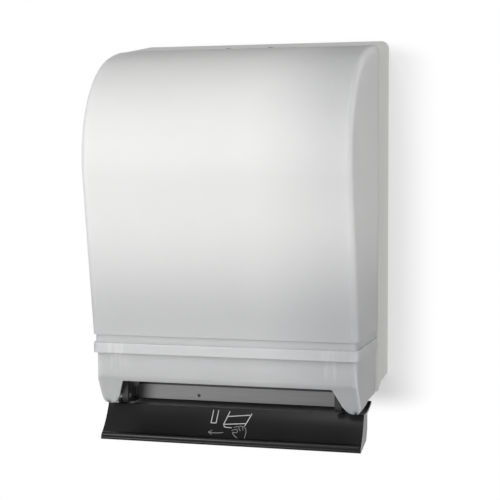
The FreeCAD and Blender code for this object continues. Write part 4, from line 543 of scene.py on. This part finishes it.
DEFORMING = {"latch_spring"}
WOUND = {"return_spring"}
finished = [finished_copy(name) for name in nodes if name not in DEFORMING | WOUND]
print("finished copies", len(finished))

# %% [markdown]
# ## Surfaces from a grid of points
# A wire, a bead, a ribbon and a ring are all one thing: a closed outline carried along a path.
# Curve objects with a bevel can do it, but they take the outline from another object and turn it
# in their own way. A grid of points, one row for each place along the path, leaves nothing to
# chance, and all of its faces come from one array of point numbers.

# %% Grid and tube


def grid_mesh(name, points, close_ends=True):
    """A mesh from points[i, j]: i runs along, j round. The round direction is closed, and the
    two ends get one face each unless the path comes back to its start."""
    along, around = points.shape[:2]
    number = np.arange(along * around).reshape(along, around)
    nxt = np.roll(number, -1, axis=1)
    faces = np.stack([number[:-1], nxt[:-1], nxt[1:], number[1:]], axis=-1).reshape(-1, 4).tolist()
    if close_ends:
        faces += [number[0][::-1].tolist(), number[-1].tolist()]
    mesh = bpy.data.meshes.new(name)
    mesh.from_pydata(points.reshape(-1, 3).tolist(), [], faces)
    whole = bmesh.new()
    whole.from_mesh(mesh)
    bmesh.ops.remove_doubles(whole, verts=whole.verts, dist=FINE_JOIN)
    bmesh.ops.recalc_face_normals(whole, faces=whole.faces)
    whole.to_mesh(mesh)
    whole.free()
    smooth_shaded(mesh)
    return mesh


def along_path(path):
    """The unit direction of a path at each of its points."""
    ahead = np.gradient(path, axis=0)
    return ahead / np.linalg.norm(ahead, axis=1, keepdims=True)


def tube(name, path, radius, around=12):
    """A round tube: path + radius * (cos v * side + sin v * up), where side and up stand square
    to the path's direction at each point."""
    ahead = along_path(path)
    side = np.cross(ahead, [1.0, 0.0, 0.0])
    side /= np.linalg.norm(side, axis=1, keepdims=True)
    up = np.cross(side, ahead)
    v = np.linspace(0.0, 2 * np.pi, around, endpoint=False)
    ring = (np.cos(v)[None, :, None] * side[:, None, :] + np.sin(v)[None, :, None] * up[:, None, :])
    return grid_mesh(name, path[:, None, :] + radius * ring)


# %% [markdown]
# ## The return spring
# A torsion spring turns the lever back after a push: round wire wound close on a spool, with
# two straight legs. A Screw modifier could wind it, but the legs would be pieces apart. Here the
# path is one array, leg, helix and leg, and a tube is carried along it.

# %% Wound wire
PIVOT = np.array([0.0, -124.0, -62.0]) * MM
FRAME_OUTER = 118.3 * MM
COIL_GAP = 0.3 * MM
WIRE = 0.8 * MM
COIL = 8.0 * MM
COIL_LENGTH = 6.8 * MM
COIL_TURNS = 4
STEPS_PER_TURN = 24
LEG = 12.8 * MM
LEG_SHARES = np.linspace(1.0, 0.15, 5)   # from the leg's tip to the coil

turn = np.linspace(0.0, 2 * np.pi * COIL_TURNS, STEPS_PER_TURN * COIL_TURNS + 1)
helix = np.stack([-COIL_LENGTH * turn / turn[-1], COIL * np.sin(turn), COIL * np.cos(turn)], axis=1)
leg = LEG_SHARES[:, None] * np.array([[0.0, LEG, 0.0]])
spring_path = np.concatenate([helix[0] - leg, helix, helix[-1] + leg[::-1]])
spring_path += PIVOT - np.array([FRAME_OUTER + COIL_GAP + WIRE, 0.0, 0.0])
spring = dress(bpy.data.objects.new("return_spring_wire",
                                    tube("return_spring_wire", spring_path, WIRE)),
               "housing", "spring_steel")
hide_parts("return_spring")
print("spring points", len(spring_path))

# %% [markdown]
# ## The push sign on the lever
# A line drawing printed in light ink shows how to use the lever: a hand pushes a slanted bar
# towards the wall, and an arrow says which way. An image on the surface would do, but it has to
# be unwrapped and goes soft close up. So each line is a thin ribbon that lies in the bar's hollow
# front. Its stroke starts as a smooth curve through a few points on the flattened face.

# %% Smooth strokes


def smooth_through(points, steps=8):
    """A Catmull-Rom curve: between two points, the cubic that leaves each along the line joining
    its neighbours."""
    p = np.asarray(points, dtype=float)
    if len(p) == 2:
        return p[0] + np.linspace(0.0, 1.0, steps)[:, None] * (p[1] - p[0])
    p = np.concatenate([2 * p[:1] - p[1:2], p, 2 * p[-1:] - p[-2:-1]])
    t = np.linspace(0.0, 1.0, steps, endpoint=False)[None, :, None]
    a, b, c, d = (p[i:len(p) - 3 + i, None, :] for i in range(4))
    runs = 0.5 * (2 * b + (c - a) * t + (2 * a - 5 * b + 4 * c - d) * t ** 2
                  + (3 * b - a - 3 * c + d) * t ** 3)
    return np.concatenate([runs.reshape(-1, 2), p[-2:-1]])


# %% [markdown]
# ## Ribbons in the hollow front
# Printed ink follows the bar's curve and hardly stands out of it. Flat ribbons could be pressed
# onto the bar with a Shrinkwrap modifier, but the trough's arc is known, so each point of a
# stroke is rolled onto it by a formula. The ribbon reaches a little under the face, so that no
# gap shows at its edge.

# %% Ribbons
INK_WIDTH = 0.9
INK_RISE = 0.12
INK_ROOT = -0.08
TIP_SHARE = 0.35
TROUGH_MIDDLE = FACE_MIDDLE + 2 * CHORD_REACH * FACE_OUT   # the arc's middle, across its chord


def on_face(flat, height):
    """Rolls (across, down) points onto the trough, whose middle lies in front of the bar. The
    angle grows by down / radius, and height stands out towards the trough's middle."""
    angle = math.pi + FACE_FOOT + flat[..., 1] / FACE_RADIUS
    reach = FACE_RADIUS - height
    depth = TROUGH_MIDDLE[0] + reach * np.cos(angle)
    rise = TROUGH_MIDDLE[1] + reach * np.sin(angle)
    return np.stack([flat[..., 0], -depth, rise], axis=-1) * MM


def ribbon(name, points):
    """A stroke of even width: each point of the curve steps half the width to both sides, and
    the two ends are drawn in to a rounded tip."""
    line = smooth_through(points)
    ahead = along_path(line)
    tip = ahead * INK_WIDTH / 2
    line = np.concatenate([line[:1] - tip[:1], line, line[-1:] + tip[-1:]])
    ahead = np.concatenate([ahead[:1], ahead, ahead[-1:]])
    half = np.full(len(line), INK_WIDTH / 2)
    half[[0, -1]] *= TIP_SHARE
    side = np.stack([-ahead[:, 1], ahead[:, 0]], axis=1) * half[:, None]
    corners = [on_face(line + side, INK_ROOT), on_face(line - side, INK_ROOT),
               on_face(line - side, INK_RISE), on_face(line + side, INK_RISE)]
    return grid_mesh(name, np.stack(corners, axis=1))


print("trough's middle in mm", TROUGH_MIDDLE.round(1))

# %% [markdown]
# ## Strokes of the sign
# The strokes are given in millimetres, across from the bar's middle and down from its top edge.
# They could all have one ink, but the hand and the arrow, lower on the bar, take a darker ink:
# painted shade for the dimmer light there. The wall and the slanted bar stand in full ink.

# %% Strokes of the sign
SIGN = {
    "wall": [(-21.0, 3.0), (-22.0, 17.0)],
    "wall_inner": [(-15.5, 3.0), (-16.5, 17.0)],
    "wall_foot": [(-22.0, 17.0), (-16.5, 17.0)],
    "flap_rear": [(-3.0, 3.5), (-8.0, 18.0)],
    "flap_front": [(21.0, 5.0), (15.0, 18.5)],
    "flap_top": [(-4.0, 9.0), (19.0, 6.5)],
    "flap_foot": [(-8.0, 18.0), (15.0, 16.0)],
    "flap_lip": [(-8.0, 18.0), (-6.0, 21.0), (1.0, 21.5)],
    "thumb": [(2.0, 24.5), (7.0, 23.0), (8.0, 26.5), (3.0, 27.0)],
    "palm": [(3.0, 27.0), (6.0, 31.0), (10.0, 34.0)],
    "finger_one": [(3.5, 21.0), (8.0, 19.8), (11.0, 24.5)],
    "finger_two": [(8.5, 19.8), (12.0, 19.2), (14.0, 23.5)],
    "back_of_hand": [(12.5, 19.2), (16.0, 21.0), (17.5, 26.0), (17.0, 33.0)],
    "arrow_shaft": [(-23.0, 28.0), (-15.0, 28.6), (-7.0, 27.6)],
    "arrow_upper": [(-23.0, 28.0), (-19.5, 25.6)],
    "arrow_lower": [(-23.0, 28.0), (-19.0, 30.6)],
}
FULL_INK = "wall", "flap"
# The hand and the arrow take the darker ink, painted shade for the bar's lower part.
for name, points in SIGN.items():
    stroke = bpy.data.objects.new("sign_" + name, ribbon("sign_" + name, points))
    dress(stroke, "lever", "sign_ink" if name.startswith(FULL_INK) else "painted_shade_ink")
print("sign strokes", len(SIGN))

# %% [markdown]
# ## The bead along the bar's foot
# A round lip stiffens the bar's lower edge and keeps it from being sharp to the hand. A wider
# bevel on that edge would only take material away, and the lip stands out. So it is a piece of
# its own: part of a circle, closed by a chord that lies inside the bar's wall, and carried along
# the bar.

# %% Bead
BEAD_MIDDLE = np.array([160.5, -230.7])
BEAD_RADIUS = 3.6
BEAD_SHORT = 1.2
BEAD_ARC = np.radians(np.linspace(-82.0, 128.0, 15))
bar_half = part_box("lever")[1][0] - BEAD_SHORT * MM
profile = (BEAD_MIDDLE + BEAD_RADIUS * np.stack([np.cos(BEAD_ARC), np.sin(BEAD_ARC)], axis=1)) * MM
ends = np.array([-bar_half, bar_half])
across = np.broadcast_to(ends[:, None], (len(ends), len(profile)))
rolled = np.stack([across, np.broadcast_to(-profile[:, 0], across.shape),
                   np.broadcast_to(profile[:, 1], across.shape)], axis=-1)
bead = dress(bpy.data.objects.new("lever_bead", grid_mesh("lever_bead", rolled)),
             "lever", "lever_plastic")
bead.modifiers.new("flat_faces", "WEIGHTED_NORMAL")
print("bead half length", bar_half)

# %% [markdown]
# ## Dark rims of the key slots
# Two black rims stand a little proud of the case's top round the key slots. Their black stands in
# for the shade inside the slots, as painted shade. A torus would be quick, but it is round, and the
# slots are long with round corners. A curve with the rule |x/a|^n + |y/b|^n = 1 is a circle at n =
# 2 and nearly a rectangle at n = 4, so each rim is a four-cornered section carried round that
# curve.

# %% Dark rims of the key slots, painted shade
SLOT_PLACE = np.array([24.0, -64.0, 185.9])
SLOT_HALF = np.array([2.1, 3.3])
SQUARENESS = 4
RIM_WALL = 0.9
RIM_RISE = 1.2
RIM_ROOT = -2.0
HANDS = {"left": -1, "right": 1}
round_slot = np.linspace(0.0, 2 * np.pi, 41)
corner = np.stack([np.cos(round_slot), np.sin(round_slot)], axis=1)
corner = np.sign(corner) * np.abs(corner) ** (2 / SQUARENESS)
section = np.array([[0.0, RIM_ROOT], [0.0, RIM_RISE], [RIM_WALL, RIM_RISE],
                    [RIM_WALL, RIM_ROOT]])
flat = corner[:, None, :] * (SLOT_HALF + section[None, :, :1])
rise = np.broadcast_to(section[None, :, 1:], flat.shape[:2] + (1,))
# Black rims: painted shade for the shadowed key slots.
for word, hand in HANDS.items():
    ring = (np.concatenate([flat, rise], axis=-1) + SLOT_PLACE * [hand, 1, 1]) * MM
    shade_rim = dress(bpy.data.objects.new(word + "_slot_shade_rim",
                                       grid_mesh(word + "_slot_shade_rim", ring, close_ends=False)),
                  "housing", "black_plastic")
    shade_rim.modifiers.new("flat_faces", "WEIGHTED_NORMAL")
print("slot_shade_rims", len(HANDS))

# %% [markdown]
# ## White wall
# The dispenser hangs on a white wall that takes its soft shadow. More light could make the wall
# white, but it would flood the dispenser too. So the wall glows, towards the camera and in
# reflections: weakly near the dispenser, where the paint shows the shadow, and as plain white
# farther out. From behind it is see-through, so the back can be looked at. Rays shorter than 4 mm
# pass as well, because the wall stands 0.4 mm behind the case and would leave its back black.

# %% Paint and glow
OUTLINE_HALF = 0.146
OUTLINE_RISE = 0.187
OUTLINE_MIDDLE = -0.011
UPRIGHT_FADE = 2.0
SHADOW_FADE = 0.060
WALL_PAINT = (0.77, 0.77, 0.77, 1.0)
WALL_GLOW = 0.18
WALL_TOUCH = 0.004
WHITE = (1.0, 1.0, 1.0, 1.0)
SEEN_BY = "Is Camera Ray", "Is Glossy Ray", "Is Transmission Ray"


def wall_finish():
    """Diffuse paint plus a glow for the camera and for reflections. Away from the dispenser's
    outline the mix runs over to plain white: the factor is the distance from the outline's box,
    as a share of the fade, through a smooth step. Up and down the distance counts double."""
    it = Finish("wall_white")
    across, rise = it.across_and_rise()
    beside = it.sum_of("MAXIMUM", it.sum_of("ABSOLUTE", across) - OUTLINE_HALF)
    upright = it.sum_of("ABSOLUTE", rise - OUTLINE_MIDDLE)
    beyond = it.sum_of("MAXIMUM", upright - OUTLINE_RISE) * UPRIGHT_FADE
    share = (beside * beside + beyond * beyond) ** 0.5 * (1 / SHADOW_FADE)
    away = it.add("ShaderNodeMapRange", {"interpolation_type": "SMOOTHSTEP"}, {"Value": share})
    seen, glossy, through, length = it.add("ShaderNodeLightPath", output=(*SEEN_BY, "Ray Length"))
    shown = seen + glossy + through
    paint = it.add("ShaderNodeBsdfDiffuse", {}, {"Color": WALL_PAINT})
    glow = it.add("ShaderNodeEmission", {}, {"Color": WHITE, "Strength": shown * WALL_GLOW})
    near = it.add("ShaderNodeAddShader", {}, {0: paint, 1: glow})
    plain = it.add("ShaderNodeEmission", {}, {"Color": WHITE, "Strength": shown})
    lit = it.add("ShaderNodeMixShader", {}, {0: away, 1: near, 2: plain})
    clear = it.add("ShaderNodeBsdfTransparent")
    behind = it.add("ShaderNodeNewGeometry", output="Backfacing")
    open_to = it.sum_of("MAXIMUM", behind, it.sum_of("LESS_THAN", length, WALL_TOUCH))
    return it.surface(it.add("ShaderNodeMixShader", {}, {0: open_to, 1: lit, 2: clear}))


# %% Wall
WALL_HALF = 3.0
WALL_GAP = 0.0004
mesh = bpy.data.meshes.new("wall")
mesh.from_pydata([(-WALL_HALF, WALL_GAP, -WALL_HALF), (WALL_HALF, WALL_GAP, -WALL_HALF),
                  (WALL_HALF, WALL_GAP, WALL_HALF), (-WALL_HALF, WALL_GAP, WALL_HALF)],
                 [], [(0, 1, 2, 3)])
wall = bpy.data.objects.new("wall", mesh)
bpy.context.scene.collection.objects.link(wall)
mesh.materials.append(wall_finish())
print("wall half width", WALL_HALF)

# %% [markdown]
# ## Lamps
# The bright patch on the dome comes from a soft lamp in front, on the left. A wide one on the
# right keeps the side readable, a small one high in front adds light from above, and a weak one
# overhead touches the case's top. Spot or sun lamps could do it too, but their shadows have hard
# edges. An area lamp's shadow is the softer the wider the lamp is.

# %% Lamps
LAMPS = {   # place, aim, side in metres, power in watts
    "key": ((-0.50, -1.35, 0.08), (0.0, -0.10, 0.0), 0.55, 7.8),
    "fill": ((1.2, -0.8, 0.25), (0.0, -0.10, -0.05), 1.0, 7),
    "top": ((0.02, -1.15, 0.62), (0.0, -0.15, -0.20), 0.30, 1.3),
    "overhead": ((0.0, -0.55, 1.20), (0.0, -0.08, 0.0), 0.90, 0.6),
}
for name, (place, aim, side, power) in LAMPS.items():
    lamp = bpy.data.lights.new(name, "AREA")
    lamp.shape, lamp.size, lamp.energy = "SQUARE", side, power
    shown = bpy.data.objects.new(name, lamp)
    shown.location = place
    shown.rotation_euler = (Vector(aim) - Vector(place)).to_track_quat("-Z", "Y").to_euler()
    bpy.context.scene.collection.objects.link(shown)
print("lamps", len(LAMPS))

# %% [markdown]
# ## World
# What the lamps leave is filled by the room, a pale grey from all sides. The camera itself has to
# see plain white past the wall. A white room would do both, but it would wash the shapes out, so
# the two are told apart by the kind of ray.

# %% World
ROOM_TONE = (0.92, 0.92, 0.92, 1.0)
ROOM_STRENGTH = 0.60
world = bpy.data.worlds.new("studio")
bpy.context.scene.world = world
sky = ShaderTree(world)
room = sky.add("ShaderNodeBackground", {}, {"Color": ROOM_TONE, "Strength": ROOM_STRENGTH})
white = sky.add("ShaderNodeBackground", {}, {"Color": WHITE, "Strength": 1.0})
seen = sky.add("ShaderNodeLightPath", output="Is Camera Ray")
sky.surface(sky.add("ShaderNodeMixShader", {}, {0: seen, 1: room, 2: white}),
            "ShaderNodeOutputWorld")
print("room strength", ROOM_STRENGTH)

# %% [markdown]
# ## Camera
# The dispenser is seen from a little to its right, almost level, through a long lens that keeps
# upright edges nearly parallel. Tilting the camera down would put it in the middle of the frame,
# but the uprights would lean. So the camera stays almost level and its frame is shifted instead.

# %% Camera
CAMERA_PLACE = (0.3151, -1.3365, 0.0469)
CAMERA_TURN = math.radians(13.914)
CAMERA_DIP = math.radians(2.208)
SENSOR_WIDTH, LENS = 36.0, 84.75
FRAME_SHIFT = -0.06
camera_data = bpy.data.cameras.new("camera")
camera_data.sensor_width = SENSOR_WIDTH
camera_data.lens = LENS
camera_data.shift_y = FRAME_SHIFT
camera = bpy.data.objects.new("camera", camera_data)
camera.location = CAMERA_PLACE
camera.rotation_euler = (math.pi / 2 - CAMERA_DIP, 0.0, CAMERA_TURN)
bpy.context.scene.collection.objects.link(camera)
bpy.context.scene.camera = camera
bpy.context.scene.view_settings.view_transform = "Standard"
print("camera", CAMERA_PLACE, "lens", LENS)
